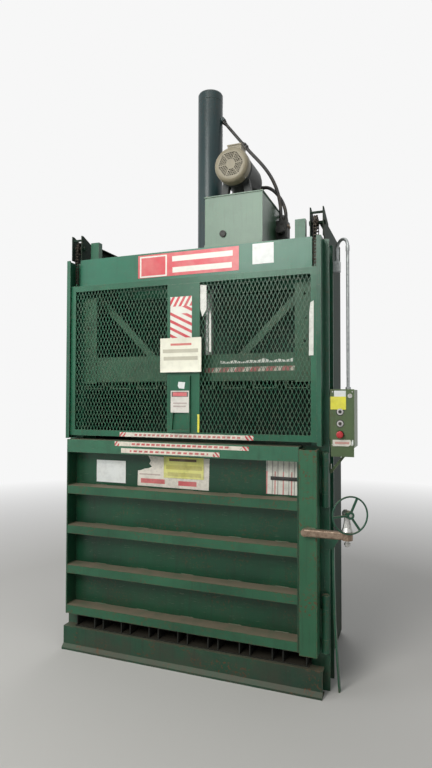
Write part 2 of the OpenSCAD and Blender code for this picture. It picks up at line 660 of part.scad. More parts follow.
module cylinder_gland() color(steel) rotate_extrude($fn = 96) polygon([[rod_r + run, barrel_z0 - 24],
    [barrel_r, barrel_z0 - 24], [barrel_r, barrel_z0], [bore_r - 0.05, barrel_z0],
    [bore_r - 0.05, barrel_z0 + 90], [rod_r + run, barrel_z0 + 90]]);
module cylinder_bolts() color(steel) bolt_circle() {
    translate([0, 0, deck_z - plate_t - flange_t - 10]) cylinder(r = 6.7, h = plate_t + flange_t + 19);
    translate([0, 0, deck_z]) cylinder(r = 11, h = 8, $fn = 6);
    translate([0, 0, deck_z - plate_t - flange_t - 10]) cylinder(r = 11, h = 10, $fn = 6);
}

// Piston rod with its piston and the foot that is bolted to the platen
module piston_rod() color(steel) rotate_extrude($fn = 96) polygon([[0, platen_top], [90, platen_top],
    [90, platen_top + 22], [rod_r, platen_top + 22], [rod_r, rod_top - piston_h],
    [bore_r - seat, rod_top - piston_h], [bore_r - seat, rod_top], [0, rod_top]]);

// Platen: bottom plate, tie channels under it, front and rear beams and the box under the rod
module platen() color(green) {
    translate([0, 0, platen_z]) {
        for (i = [0:channels - 1]) translate([channel_x(i), 0, 0]) along_y(platen_y0, platen_y1)
            mirror([0, 1]) translate([0, -45]) hat(channel_w, 45, 5);
        block([-platen_x, platen_y0, 45], [platen_x, platen_y1, 57]);
        for (y = [platen_y0, platen_y1 - 60]) along_x(-platen_x, platen_x) translate([y, 57])
            polygon([[0, 0], [0, platen_beam_h], [60, platen_beam_h], [60, platen_beam_h - 8],
                [8, platen_beam_h - 8], [8, 0]]);
        for (x = [-100, 92]) block([x, platen_y0 + 8, 57], [x + 8, platen_y1 - 60, 57 + platen_beam_h]);
        for (x = [-platen_x, platen_x - 8]) block([x, platen_y0 + 8, 57], [x + 8, platen_y1 - 60, 57 + platen_beam_h]);
        block([-120, -120, 57 + platen_beam_h - 20], [120, 120, 57 + platen_beam_h]);
        for (y = [-60, 52]) block([-100, y, 57], [100, y + 8, 57 + platen_beam_h - 20]);
    }
}
// Platen guides: tall plates that run beside the posts, with diagonal braces down to the beam
guide_w = 88;
guide_top = barrel_z0 - 57;
module platen_guides() color(green) both_sides() {
    difference() {
        block([platen_x - guide_w, platen_y0 - 6, platen_z + 35], [platen_x, platen_y0, guide_top]);
        for (z = [platen_top + 60, platen_top + 190, guide_top - 60])
            rod_y(platen_x - 30, z, 8, platen_y0 - 7, platen_y0 + 1);
    }
    block([platen_x - 8, platen_y0, platen_top], [platen_x, platen_y0 + 170, guide_top]);
    along_y(platen_y0 + 110, platen_y0 + 118) polygon([[270, platen_top], [330, platen_top],
        [platen_x - 8, platen_top + platen_x - 338], [platen_x - 8, platen_top + platen_x - 278]]);
    block([270, platen_y0 + 60, platen_top - 8], [340, platen_y0 + 120, platen_top]);
}

// Oil tank: a welded box on a flange, with its lid and plugs
module oil_tank() color(sage) difference() {
    union() {
        block([tank_x0, tank_y0, tank_z0], [tank_x1, tank_y1, tank_z1]);
        block([tank_x0, tank_y0 - 12, deck_z], [tank_x1, tank_y0 + 60, tank_z0]);
        block([tank_x0, tank_y1 - 60, deck_z], [tank_x1, tank_y1, tank_z0]);
    }
    block([tank_x0 + 4, tank_y0 + 4, tank_z0 + 4], [tank_x1 - 4, tank_y1 - 4, tank_z1 + 1]);
    rod_y(plug_x, plug_z, 14, tank_y0 - 1, tank_y0 + 5);
}
module tank_lid() color(sage) difference() {
    union() {
        block([tank_x0 - 5, tank_y0 - 5, tank_z1], [tank_x1 + 5, tank_y1 + 5, tank_z1 + 6]);
        for (y = [body_y0 + 40, body_y1 - 90])
            block([motor_x - 95, y, tank_z1 + 6], [motor_x + 95, y + 50, tank_z1 + 32]);
    }
    translate([tank_x0 + 40, tank_y1 - 40, tank_z1 - 1]) cylinder(r = 18, h = 10);
}
module tank_plugs() color(dark) {
    rod_y(plug_x, plug_z, 13.9, tank_y0 - 4, tank_y0 + 10);
    rod_y(plug_x, plug_z, 20, tank_y0 - 10, tank_y0);
    translate([tank_x0 + 40, tank_y1 - 40, tank_z1 - 20]) {
        cylinder(r = 17.9, h = 40);
        translate([0, 0, 26]) cylinder(r = 30, h = 34);
    }
}

// Motor: rolled body with end bells and feet, fan cover with a slotted grille, junction box
module motor_body() color(cream) difference() {
    union() {
        translate([motor_x, body_y0, motor_z]) rotate([-90, 0, 0]) rotate_extrude($fn = 64) polygon([[0, 0],
            [motor_r - 3.3, 0], [motor_r - 3.3, 10], [motor_r - 8, 14], [motor_r - 8, 40], [motor_r - 4, 44], [motor_r - 4, motor_len - 50],
            [motor_r - 8, motor_len - 46], [motor_r - 10, motor_len - 14], [motor_r - 40, motor_len], [0, motor_len]]);
        for (y = [body_y0 + 45, body_y1 - 85]) for (s = [-1, 1])
            along_y(y, y + 40) polygon([[motor_x + s*0.42*motor_r, motor_z - 0.8*motor_r],
                [motor_x + s*0.76*motor_r, motor_z - 0.5*motor_r], [motor_x + s*95, motor_z - 142],
                [motor_x + s*55, motor_z - 142]]);
        block([motor_x - lid_x + 5, body_y0 + 24, motor_z], [motor_x + lid_x - 5, body_y0 + 96, motor_z + motor_r + 2]);
    }
    rod_y(motor_x, motor_z, 14 + run, body_y0 - 1, body_y0 + 60);
}
// Grille: a hexagon of small holes around a plain hub, and its slight turn on the cover
grille_r = 0.76*motor_r;
hub_r = 0.26*motor_r;
grille_turn = 24;
hole_rows = 4;
row_pitch = (grille_r*cos(30) - hub_r)/hole_rows;
// Holes of one sixth of the grille: rows that get longer outwards
module grille_sector() for (i = [0:hole_rows - 1]) {
    r = hub_r + (i + 0.5)*row_pitch;
    hole_pitch = (2*r*tan(30) - 6)/(i + 3);
    for (k = [0:i + 2]) translate([r - row_pitch*0.35, (k - (i + 3)/2)*hole_pitch + hole_pitch*0.18])
        square([row_pitch*0.7, hole_pitch*0.64]);
}
// Fan cover: a flat face with a rounded shoulder
shoulder = motor_r - grille_r - 2;
function dome(t, inset) = [grille_r + 2 + (shoulder - inset)*sin(t), 26 - (26 - inset)*cos(t)];
module fan_cover() color(cream) translate([motor_x, cover_y0, motor_z]) rotate([-90, 0, 0]) difference() {
    rotate_extrude($fn = 64) polygon(concat([[0, 0]], [for (t = [0:15:90]) dome(t, 0)], [[motor_r, cover_len],
        [motor_r - 3, cover_len]], [for (t = [90:-15:0]) dome(t, 3)], [[0, 3]]));
    for (a = [0:60:300]) rotate(a + grille_turn) translate([0, 0, -1]) linear_extrude(6) grille_sector();
}
lid_x = 46;
module junction_box() color(cream) {
    block([motor_x - lid_x + 3, body_y0 + 16, motor_z + motor_r + 2],
        [motor_x + lid_x - 3, body_y0 + 104, motor_z + motor_r + 36]);
    block([motor_x - lid_x, body_y0 + 12, motor_z + motor_r + 36],
        [motor_x + lid_x, body_y0 + 108, motor_z + motor_r + 42]);
}
// Motor shaft stub with the cooling fan that turns behind the grille
module motor_rotor() color(dark) translate([motor_x, cover_y0, motor_z]) rotate([-90, 0, 0]) {
    translate([0, 0, 14]) cylinder(r = 14, h = cover_len + 20);
    translate([0, 0, 14]) cylinder(r = 26, h = 34);
    for (a = [0:45:315]) rotate(a) translate([20, -2, 16]) cube([motor_r - 34, 4, 28]);
}
// Pump behind the motor, and the valve block on the tank's side
module pump() color(dark) {
    translate([motor_x, body_y1, motor_z]) rotate([-90, 0, 0]) rotate_extrude() polygon([[0, 0], [60, 0],
        [60, 14], [44, 24], [44, 92], [36, 104], [36, 120], [0, 120]]);
    difference() {
        rod_x(body_y1 + 70, motor_z, 20, motor_x + 30, motor_x + 60);
        rod_x(body_y1 + 70, motor_z, 8, motor_x + 45, motor_x + 61);
    }
    translate([motor_x, body_y1 + 60, tank_z1 + 6]) cylinder(r = 16, h = motor_z - tank_z1 - 40);
}
module valve_block() color(dark) difference() {
    union() {
        block([valve_x0, valve_y0, valve_z0], [valve_x1, valve_y1, valve_z1]);
        rod_y(valve_x0 + 32, valve_z0 + 40, 24, valve_y0 - 52, valve_y0);
        rod_y(valve_x0 + 32, valve_z0 + 40, 20, valve_y1, valve_y1 + 46);
    }
    for (p = [valve_front, valve_rear, valve_side]) translate(p - [0, 0, fit_len + 18]) cylinder(r = 8, h = 30);
}

// Hoses: a tube with flat sides swept along hand-chosen points
hose_sides = 10;
function unit(v) = v/norm(v);
function tangent(p, i) = unit(p[min(i + 1, len(p) - 1)] - p[max(i - 1, 0)]);
function ring(p, i, r) = let (t = tangent(p, i), side = unit(cross(t, [0.1, 1, 0.2])), up = cross(side, t))
    [for (k = [0:hose_sides - 1]) p[i] + r*(cos(360*k/hose_sides)*side + sin(360*k/hose_sides)*up)];
module sweep(p, r) polyhedron(
    points = [for (i = [0:len(p) - 1]) each ring(p, i, r)],
    faces = concat([[for (k = [hose_sides - 1:-1:0]) k]],
        [for (i = [0:len(p) - 2]) for (k = [0:hose_sides - 1]) let (a = i*hose_sides + k,
            b = i*hose_sides + (k + 1)%hose_sides) [a, b, b + hose_sides, a + hose_sides]],
        [[for (k = [0:hose_sides - 1]) (len(p) - 1)*hose_sides + k]]));
// Cubic path from a to d with handles b and c
function bezier(a, b, c, d, n) = [for (i = [0:n]) let (t = i/n)
    pow(1 - t, 3)*a + 3*pow(1 - t, 2)*t*b + 3*(1 - t)*t*t*c + pow(t, 3)*d];
// A point at distance d from a port or fitting
fit_len = 26;
port_dir = [sin(port_tilt), 0, cos(port_tilt)];
port_face = [barrel_r - 4, 0, port_z] + port_boss*port_dir;
pipe_start = port_face + fit_len*port_dir;
pipe_l = 190;
pipe_end = pipe_start + pipe_l*port_dir;
union_end = pipe_end + 50*port_dir;
lower_end = [0, barrel_r + 20 + fit_len, port_low_z];
valve_front = [valve_x0 + 26, valve_y0 + 18, valve_z1 + fit_len];
valve_rear = [valve_x0 + 26, valve_y1 - 18, valve_z1 + fit_len];
valve_side = [valve_x0 + 54, (valve_y0 + valve_y1)/2, valve_z1 + fit_len];
pump_port = [motor_x + 60, body_y1 + 70, motor_z];
// A path with a short straight start and end, so that its end faces lie square in the fittings:
// a and b are its ends, da and db their directions, ha and hb its handles
function hose(a, da, ha, b, db, hb) = concat([a], bezier(a + 8*da, a + ha, b + hb, b + 8*db, 20), [b]);
upper_path = hose(union_end, port_dir, 130*port_dir, valve_front, [0, 0, 1], [0, 0, 260]);
lower_path = hose(lower_end, [0, 1, 0], [0, 260, 0], valve_rear, [0, 0, 1], [0, 220, 170]);
pump_path = hose(pump_port + [fit_len, 0, 0], [1, 0, 0], [60, 0, 0], valve_side, [0, 0, 1], [0, 0, 110]);
module hydraulic_hoses() color(dark) {
    translate(pipe_start) rotate([0, port_tilt, 0]) cylinder(r = hose_r - 1, h = pipe_l);
    for (path = [upper_path, lower_path, pump_path]) sweep(path, hose_r);
}
module fitting() difference() {
    union() {
        translate([0, 0, -14]) cylinder(r = 7.9, h = 14);
        cylinder(r = 15, h = 14, $fn = 6);
        cylinder(r = 12, h = fit_len);
    }
    translate([0, 0, -20]) cylinder(r = 4, h = 30);
}
module hose_fittings() color(steel) {
    translate(port_face) rotate([0, port_tilt, 0]) fitting();
    translate(pipe_end) rotate([0, port_tilt, 0]) {
        cylinder(r = 13, h = 50);
        translate([0, 0, 8]) cylinder(r = 18, h = 14, $fn = 6);
        translate([0, 0, 28]) cylinder(r = 18, h = 14, $fn = 6);
    }
    translate([0, barrel_r + 20, port_low_z]) rotate([-90, 0, 0]) fitting();
    for (p = [valve_front, valve_rear, valve_side]) translate(p - [0, 0, fit_len]) fitting();
    translate(pump_port) rotate([0, 90, 0]) fitting();
}

// Control box: back shell with a lip below, cover, rings, buttons, strut and conduit
module control_box() color(olive) difference() {
    union() {
        block([box_x0, box_y0, box_z0], [box_x1, box_y1, box_z1]);
        block([post_outer, box_y0 + 24, box_z0 + 40], [box_x0, post_y1, box_z1 - 40]);
        along_x(box_x0, box_x1) polygon([[box_y0 - 2, box_z0 - 52], [box_y0 - 2, box_z0], [box_y1, box_z0],
            [box_y1, box_z0 - 4], [box_y0 + 2, box_z0 - 4], [box_y0 + 2, box_z0 - 52]]);
    }
    block([box_x0 + 3, box_y0 - 1, box_z0 + 3], [box_x1 - 3, box_y1 - 3, box_z1 - 3]);
    translate([conduit_x, conduit_y, box_z1 - 5]) cylinder(r = conduit_r + 0.1, h = 10);
}
module cover_hole(x, z, r) rod_y(x, z, r, button_y - 1, box_y0 + 1);
module control_cover() color(olive) difference() {
    block([box_x0 - 2, button_y, box_z0 + 1], [box_x1 + 2, box_y0, box_z1 + 2]);
    for (z = [start_z, selector_z, stop_z]) cover_hole(button_x, z, 11);
    cover_hole(key_x, key_z, 9);
}
module button_rings() color(steel) {
    for (z = [start_z, selector_z, stop_z])
        translate([button_x, button_y, z]) rotate([90, 0, 0]) difference() {
            union() {
                cylinder(r = ring_d/2, h = 4);
                cylinder(r = ring_d/2 - 3, h = 7);
                translate([0, 0, -12]) cylinder(r = 10.9, h = 13);
            }
            translate([0, 0, -20]) cylinder(r = 9.2, h = 40);
        }
    translate([key_x, button_y, key_z]) rotate([90, 0, 0]) difference() {
        union() {
            cylinder(r = 12, h = 3);
            translate([0, 0, -12]) cylinder(r = 8.9, h = 13);
        }
        translate([0, 0, -20]) cylinder(r = 7.2, h = 40);
    }
}
module start_button() color(dark) translate([button_x, button_y, start_z]) rotate([90, 0, 0])
    translate([0, 0, -20]) cylinder(r = 9.1, h = 29);
module selector_knob() color(dark) translate([button_x, button_y, selector_z]) rotate([90, 0, 0]) {
    translate([0, 0, -20]) cylinder(r = 9.1, h = 29);
    translate([-3, -9, 9]) cube([6, 18, 9]);
}
module stop_button() color("firebrick") translate([button_x, button_y, stop_z]) rotate([90, 0, 0]) {
    translate([0, 0, -20]) cylinder(r = 9.1, h = 36);
    translate([0, 0, 15]) rotate_extrude() polygon([[0, 0], [17, 0], [19, 3], [18, 8], [12, 11], [0, 12]]);
}
module key_switch() color(steel) translate([key_x, button_y, key_z]) rotate([90, 0, 0]) difference() {
    translate([0, 0, -20]) cylinder(r = 7.1, h = 25);
    translate([-1.5, -5, 3]) cube([3, 10, 5]);
}
module box_strut() color(olive) {
    along_y(box_y0 + 60, box_y0 + 66) polygon([[post_outer, box_z0 - 150], [post_outer + 8, box_z0 - 150],
        [box_x1 - 20, box_z0 - 12], [box_x1 - 20, box_z0 - 4], [box_x1 - 30, box_z0 - 4],
        [post_outer, box_z0 - 136]]);
    block([post_outer, box_y0 + 46, box_z0 - 150], [post_outer + 5, box_y0 + 80, box_z0 - 100]);
}
// Conduit: a straight pipe up from the box, a bend at the top and a fitting on the side wall
conduit_r = 9;
conduit_x = box_x1 - 47;
conduit_y = box_y0 + 140;
bend_r = 48;
socket_l = 30;
bend_z = post_z1 - 20;
module conduit() color(steel) {
    far_x = conduit_x - 2*bend_r*cos(45);
    far_y = conduit_y + 2*bend_r*cos(45);
    translate([conduit_x, conduit_y, bend_z]) rotate([0, 0, 135]) translate([bend_r, 0, 0])
        rotate([90, 0, 0]) rotate_extrude(angle = 180) translate([bend_r, 0]) circle(r = conduit_r);
    // sockets that join the bend to its two straight pipes
    for (p = [[conduit_x, conduit_y], [far_x, far_y]])
        translate([p[0], p[1], bend_z - socket_l]) cylinder(r = conduit_r + 2, h = socket_l);
    translate([conduit_x, conduit_y, box_z1 - 4]) cylinder(r = conduit_r, h = bend_z - socket_l/2 - box_z1 + 4);
    translate([far_x, far_y, bend_z - 74]) cylinder(r = conduit_r, h = 74 - socket_l/2);
    block([wall_x, far_y - 18, bend_z - 130], [far_x + 18, far_y + 18, bend_z - 70]);
    translate([conduit_x, conduit_y, box_z1]) cylinder(r = conduit_r + 6, h = 16);
}

base_frame();
chamber_floor();
left_post();
right_post();
gate_guides();
left_side_wall();
right_side_wall();
back_wall();
header_panel();
top_frame();
chain_wheel_brackets();
frame_hinge_knuckles();
hinge_pins();
cylinder_barrel();
cylinder_gland();
cylinder_bolts();
oil_tank();
tank_lid();
tank_plugs();
motor_body();
fan_cover();
junction_box();
motor_rotor();
pump();
valve_block();
hydraulic_hoses();
hose_fittings();
control_box();
control_cover();
button_rings();
box_strut();
conduit();
door_panel();
door_top_rail();
door_ribs();
door_hinge_knuckles();
latch_bar();
latch_lever();
latch_hinge_knuckles();
swivel_block();
clamp_screw();
handwheel();
gate_frame();
gate_mesh();
gate_centre_plate();
piston_rod();
platen();
platen_guides();
left_chain_wheel();
right_chain_wheel();
left_counterweight();
right_counterweight();
left_chain();
right_chain();
left_rear_chain();
right_rear_chain();
start_button();
selector_knob();
stop_button();
key_switch();
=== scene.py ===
# %% [markdown]
# # A vertical cardboard baler
# This lesson dresses the solids of a vertical baler, the press in which a shop
# crushes its cardboard. The machine is welded steel under one coat of green
# enamel, worn by years of use. The solids stay as they are. Each gets a paint or
# metal of its own, and the fine pieces, such as the expanded metal of the gate
# and the roller chains, are built here.

import math
import random

import bmesh
import bpy
from mathutils import Matrix, Vector


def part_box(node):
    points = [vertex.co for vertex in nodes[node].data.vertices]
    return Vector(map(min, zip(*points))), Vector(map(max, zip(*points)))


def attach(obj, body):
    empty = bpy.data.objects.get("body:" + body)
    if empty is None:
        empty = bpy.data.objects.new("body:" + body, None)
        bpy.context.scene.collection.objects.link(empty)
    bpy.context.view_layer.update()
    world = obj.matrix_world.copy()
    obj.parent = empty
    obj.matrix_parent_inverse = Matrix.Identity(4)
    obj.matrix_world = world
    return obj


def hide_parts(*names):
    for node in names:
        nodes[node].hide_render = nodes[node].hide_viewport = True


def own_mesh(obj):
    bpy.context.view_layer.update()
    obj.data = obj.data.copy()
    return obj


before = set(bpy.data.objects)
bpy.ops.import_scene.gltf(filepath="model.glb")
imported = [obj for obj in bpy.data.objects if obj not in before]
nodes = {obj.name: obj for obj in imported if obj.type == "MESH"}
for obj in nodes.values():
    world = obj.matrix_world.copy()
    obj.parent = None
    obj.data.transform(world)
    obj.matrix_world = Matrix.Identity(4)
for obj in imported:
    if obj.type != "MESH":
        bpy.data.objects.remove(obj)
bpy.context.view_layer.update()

# %% [markdown]
# ## Finding things
# A box round each solid gives places that later pieces need, so a bolt or a weld
# finds its face. A sheet measured in the photograph has its numbers typed instead.

# %% Boxes of the solids
def span(node):
    """Lowest and highest corner of one solid."""
    low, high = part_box(node)
    return low, high


gate_low, gate_high = span("gate_frame")
centre_low = span("gate_centre_plate")[0]
header_low, header_high = span("header_panel")
print("gate", gate_low, gate_high)

# %% [markdown]
# ## Paint
# Old enamel is never one colour. It is built up here in layers, in the order in
# which they come on the real machine: the coat itself with slow changes of tone,
# scuffs and grease on the flat faces, runs of dirt down the sheets, bare or rusty
# edges, and dust on every face that looks up. Each layer is one mask and one mix,
# so a single function makes all the painted finishes.

# %% Building blocks for finishes
def colour(red, green, blue):
    """A colour as it looks on screen, 0 to 255, as the linear colour that the shader wants."""
    def linear(v):
        v = v / 255
        return v / 12.92 if v <= 0.04045 else ((v + 0.055) / 1.055) ** 2.4
    return (linear(red), linear(green), linear(blue), 1.0)


class Finish:
    """A material under construction: small helpers that add one node each."""

    def __init__(self, name, rough=0.5, metal=0.0):
        self.material = bpy.data.materials.new(name)
        self.material.use_nodes = True
        self.tree = self.material.node_tree
        self.shader = self.tree.nodes["Principled BSDF"]
        self.shader.inputs["Roughness"].default_value = rough
        self.shader.inputs["Metallic"].default_value = metal
        self.place = self.add("ShaderNodeTexCoord").outputs["Object"]

    def add(self, kind, **settings):
        node = self.tree.nodes.new(kind)
        for key, value in settings.items():
            setattr(node, key, value)
        return node

    def link(self, source, target):
        self.tree.links.new(source, target)

    def feed(self, socket, value):
        if hasattr(value, "links"):
            self.link(value, socket)
        else:
            socket.default_value = value

    def noise(self, scale, stretch=(1, 1, 1), detail=4.0, rough=0.55, shift=(0, 0, 0)):
        mapping = self.add("ShaderNodeMapping")
        mapping.inputs["Scale"].default_value = stretch
        mapping.inputs["Location"].default_value = shift
        self.link(self.place, mapping.inputs["Vector"])
        texture = self.add("ShaderNodeTexNoise")
        texture.inputs["Scale"].default_value = scale
        texture.inputs["Detail"].default_value = detail
        texture.inputs["Roughness"].default_value = rough
        self.link(mapping.outputs["Vector"], texture.inputs["Vector"])
        return texture.outputs["Fac"]

    def between(self, value, low, high, to_low=0.0, to_high=1.0):
        node = self.add("ShaderNodeMapRange", clamp=True)
        self.feed(node.inputs["Value"], value)
        node.inputs["From Min"].default_value = low
        node.inputs["From Max"].default_value = high
        node.inputs["To Min"].default_value = to_low
        node.inputs["To Max"].default_value = to_high
        return node.outputs["Result"]

    def math(self, operation, a, b=0.0, clamp=True):
        node = self.add("ShaderNodeMath", operation=operation, use_clamp=clamp)
        self.feed(node.inputs[0], a)
        self.feed(node.inputs[1], b)
        return node.outputs["Value"]

    def mix(self, mask, a, b):
        node = self.add("ShaderNodeMix", data_type="RGBA")
        self.feed(node.inputs["Factor"], mask)
        self.feed(node.inputs[6], a)
        self.feed(node.inputs[7], b)
        return node.outputs[2]

    def facing(self, axis):
        """How far a face looks along one axis: 1 is straight along it."""
        geometry = self.add("ShaderNodeNewGeometry")
        split = self.add("ShaderNodeSeparateXYZ")
        self.link(geometry.outputs["Normal"], split.inputs["Vector"])
        return split.outputs[axis]

    def along(self, axis):
        """Where a point lies along one axis, in metres."""
        split = self.add("ShaderNodeSeparateXYZ")
        self.link(self.place, split.inputs["Vector"])
        return split.outputs[axis]

    def band(self, value, low, high, soft=0.0005):
        """1 between two values, with a crisp edge."""
        rise = self.between(value, low - soft, low + soft)
        fall = self.between(value, high + soft, high - soft)
        return self.math("MULTIPLY", rise, fall)

    def field(self, x0, x1, z0, z1):
        """1 inside a rectangle on a face that looks forwards."""
        return self.math("MULTIPLY", self.band(self.along("X"), x0, x1), self.band(self.along("Z"), z0, z1))

    def stripes(self, lean, period, share):
        """1 on slanting stripes: lean is the rise of a stripe over its run."""
        slope = self.math("MULTIPLY", self.along("X"), -lean, clamp=False)
        level = self.math("ADD", self.along("Z"), slope, clamp=False)
        wave = self.math("PINGPONG", level, period / 2, clamp=False)
        edge = period / 2 * share
        return self.between(wave, edge + 0.0006, edge - 0.0006)

    def edges(self, radius):
        """1 on a sharp edge, 0 on a flat face."""
        bevel = self.add("ShaderNodeBevel", samples=4)
        bevel.inputs["Radius"].default_value = radius
        geometry = self.add("ShaderNodeNewGeometry")
        dot = self.add("ShaderNodeVectorMath", operation="DOT_PRODUCT")
        self.link(bevel.outputs["Normal"], dot.inputs[0])
        self.link(geometry.outputs["Normal"], dot.inputs[1])
        return self.between(dot.outputs["Value"], 0.99, 0.80)

    def bump(self, value, strength, distance=0.001):
        """Relief. A second call adds to the first."""
        node = self.add("ShaderNodeBump")
        node.inputs["Strength"].default_value = strength
        node.inputs["Distance"].default_value = distance
        self.link(value, node.inputs["Height"])
        if self.shader.inputs["Normal"].is_linked:
            self.link(self.shader.inputs["Normal"].links[0].from_socket, node.inputs["Normal"])
        self.link(node.outputs["Normal"], self.shader.inputs["Normal"])

    def done(self, base, rough=None):
        self.feed(self.shader.inputs["Base Color"], base)
        if rough is not None:
            self.link(rough, self.shader.inputs["Roughness"])
        return self.material


# %% [markdown]
# ## The enamel
# One recipe, many settings: the tank is clean and glossy, the door is scuffed and
# greasy, and the base is chipped, rusty and dirty. Each setting says how much of a
# layer a finish shows. The walls of a grille's holes are darkened as painted shade.

# %% Painted steel
DUST = colour(122, 110, 92)
# The dark grime colour below also paints the shade inside a grille's holes.
GRIME_AND_SHADE = colour(38, 36, 30)
RUST = colour(98, 62, 38)
PALE = colour(150, 146, 128)
MUD = colour(74, 68, 56)
DENTS = 0.25


def painted(name, coat, deep, rough=0.38, grime=0.3, streaks=0.3, dust=0.8, wear=0.5,
            rust=0.2, scuffs=0.3, floor_dirt=0.0, edge=0.0035, bare=PALE, shift=0.0,
            gloss=0.4, grille=None):
    """Enamel on steel, with its tone, grease, runs, chips, bare edges and dust, and painted shade inside a
    grille's holes.
    """
    f = Finish(name, rough)
    move = (shift, shift * 0.7, 0)
    tone = f.between(f.noise(2.2, detail=3, shift=move), 0.32, 0.68)
    base = f.mix(tone, coat, deep)
    cloud = f.noise(7, detail=6, rough=0.62, shift=move)
    greasy = f.math("MULTIPLY", f.between(cloud, 0.50, 0.72), grime)
    base = f.mix(greasy, base, GRIME_AND_SHADE)
    run = f.noise(9, stretch=(5.5, 5.5, 0.35), detail=5, rough=0.6, shift=move)
    wall = f.between(f.facing("Z"), 0.5, 0.2)
    runs = f.math("MULTIPLY", f.math("MULTIPLY", f.between(run, 0.53, 0.74), wall), streaks)
    base = f.mix(runs, base, GRIME_AND_SHADE)
    scratch = f.noise(26, stretch=(0.8, 3, 5), detail=8, rough=0.72, shift=move)
    scuff = f.math("MULTIPLY", f.between(scratch, 0.60, 0.70), scuffs)
    base = f.mix(scuff, base, bare)
    speck = f.noise(70, detail=3, rough=0.5, shift=move)
    worn_off = f.between(f.noise(6.5, detail=4, rough=0.6, shift=move), 0.50, 0.60)
    chip = f.math("MULTIPLY", f.math("MULTIPLY", f.between(speck, 0.555, 0.60), worn_off), rust)
    patch = f.math("MULTIPLY", f.between(f.noise(5, detail=9, rough=0.7, shift=move), 0.62, 0.70), rust)
    rusty = f.math("MAXIMUM", chip, patch)
    base = f.mix(rusty, base, RUST)
    if wear > 0:
        edge_mask = f.math("MULTIPLY", f.edges(edge), f.between(f.noise(38, detail=5), 0.38, 0.62))
        base = f.mix(f.math("MULTIPLY", edge_mask, wear), base, bare)
    up = f.between(f.facing("Z"), 0.45, 0.95)
    settle = f.between(f.noise(14, detail=6, rough=0.65, shift=move), 0.25, 0.60, 0.55, 1.0)
    dusty = f.math("MULTIPLY", f.math("MULTIPLY", up, settle), dust)
    base = f.mix(dusty, base, DUST)
    if floor_dirt > 0:
        low = f.between(f.along("Z"), 0.50, 0.02)
        splash = f.math("MULTIPLY", low, f.between(cloud, 0.36, 0.62))
        base = f.mix(f.math("MULTIPLY", splash, floor_dirt), base, MUD)
    # Painted shade: inside a grille's holes the walls are darkened to the grime colour.
    if grille:
        centre_x, centre_z, reach = grille
        across = f.math("SUBTRACT", f.along("X"), centre_x, clamp=False)
        high = f.math("SUBTRACT", f.along("Z"), centre_z, clamp=False)
        squares = f.math("ADD", f.math("MULTIPLY", across, across), f.math("MULTIPLY", high, high))
        near = f.between(f.math("SQRT", squares), reach, reach - 0.004)
        shaded_hole_walls = f.between(f.facing("Y"), -0.92, -0.75)
        base = f.mix(f.math("MULTIPLY", near, shaded_hole_walls), base, GRIME_AND_SHADE)
    dull = f.math("MAXIMUM", f.math("MAXIMUM", dusty, rusty), scuff)
    shine = f.mix(dull, (rough,) * 3 + (1,), (0.85,) * 3 + (1,))
    f.bump(f.noise(3.3, detail=3, shift=move), DENTS, 0.02)
    peel = f.noise(160, detail=2)
    f.bump(f.math("SUBTRACT", peel, rusty), 0.18)
    f.shader.inputs["Specular IOR Level"].default_value = gloss
    return f.done(base, shine)


# %% [markdown]
# ## Bare metal
# Steel that is handled all day, such as the lever and the screw, is polished where
# hands and threads rub and brown where they do not. Galvanised pipe has a dull
# crystal pattern instead, and chain is black with oil.

# %% Metals, rubber and plastic
def bare_metal(name, bright, dark, rough, spots=0.5, fine=60, metal=1.0, dust=0.3):
    """Steel with darker, duller spots."""
    f = Finish(name, rough, metal)
    spot = f.math("MULTIPLY", f.between(f.noise(fine, detail=7, rough=0.68), 0.42, 0.66), spots)
    base = f.mix(spot, bright, dark)
    up = f.math("MULTIPLY", f.between(f.facing("Z"), 0.5, 0.95), dust)
    base = f.mix(up, base, DUST)
    dull = f.math("MAXIMUM", spot, up)
    shine = f.mix(dull, (rough,) * 3 + (1,), (0.8,) * 3 + (1,))
    f.bump(f.noise(fine * 3, detail=3), 0.15, 0.0005)
    return f.done(base, shine)


def moulded(name, tone, rough, grain=300, dust=0.35, bump=0.1):
    """Rubber or plastic with a fine grain and a film of dust."""
    f = Finish(name, rough)
    film = f.math("MULTIPLY", f.between(f.noise(18, detail=6), 0.45, 0.75), dust)
    base = f.mix(film, tone, DUST)
    shine = f.mix(film, (rough,) * 3 + (1,), (0.8,) * 3 + (1,))
    f.bump(f.noise(grain, detail=2), bump, 0.0004)
    return f.done(base, shine)


# %% [markdown]
# ## One finish for each part
# Each green is a little different, and the tank, the cylinder and the motor have
# colours of their own. The side walls' green is much darker, as painted shade.
# One shared paint would make the machine look cast in one piece. The shift moves
# the noise, so no two finishes show the same spots.

# %% The finishes of this machine
header_green = painted("header_green", colour(48, 118, 92), colour(38, 104, 79), rough=0.30,
                       grime=0.12, streaks=0.15, wear=0.35, rust=0.10, scuffs=0.12)
gate_green = painted("gate_green", colour(40, 104, 76), colour(29, 86, 61), rough=0.34,
                     grime=0.2, streaks=0.25, wear=0.5, rust=0.15, scuffs=0.2, shift=3.1)
post_green = painted("post_green", colour(40, 98, 73), colour(28, 78, 58), rough=0.34,
                     grime=0.2, streaks=0.35, wear=0.6, rust=0.25, scuffs=0.25, floor_dirt=0.5, shift=6.4)
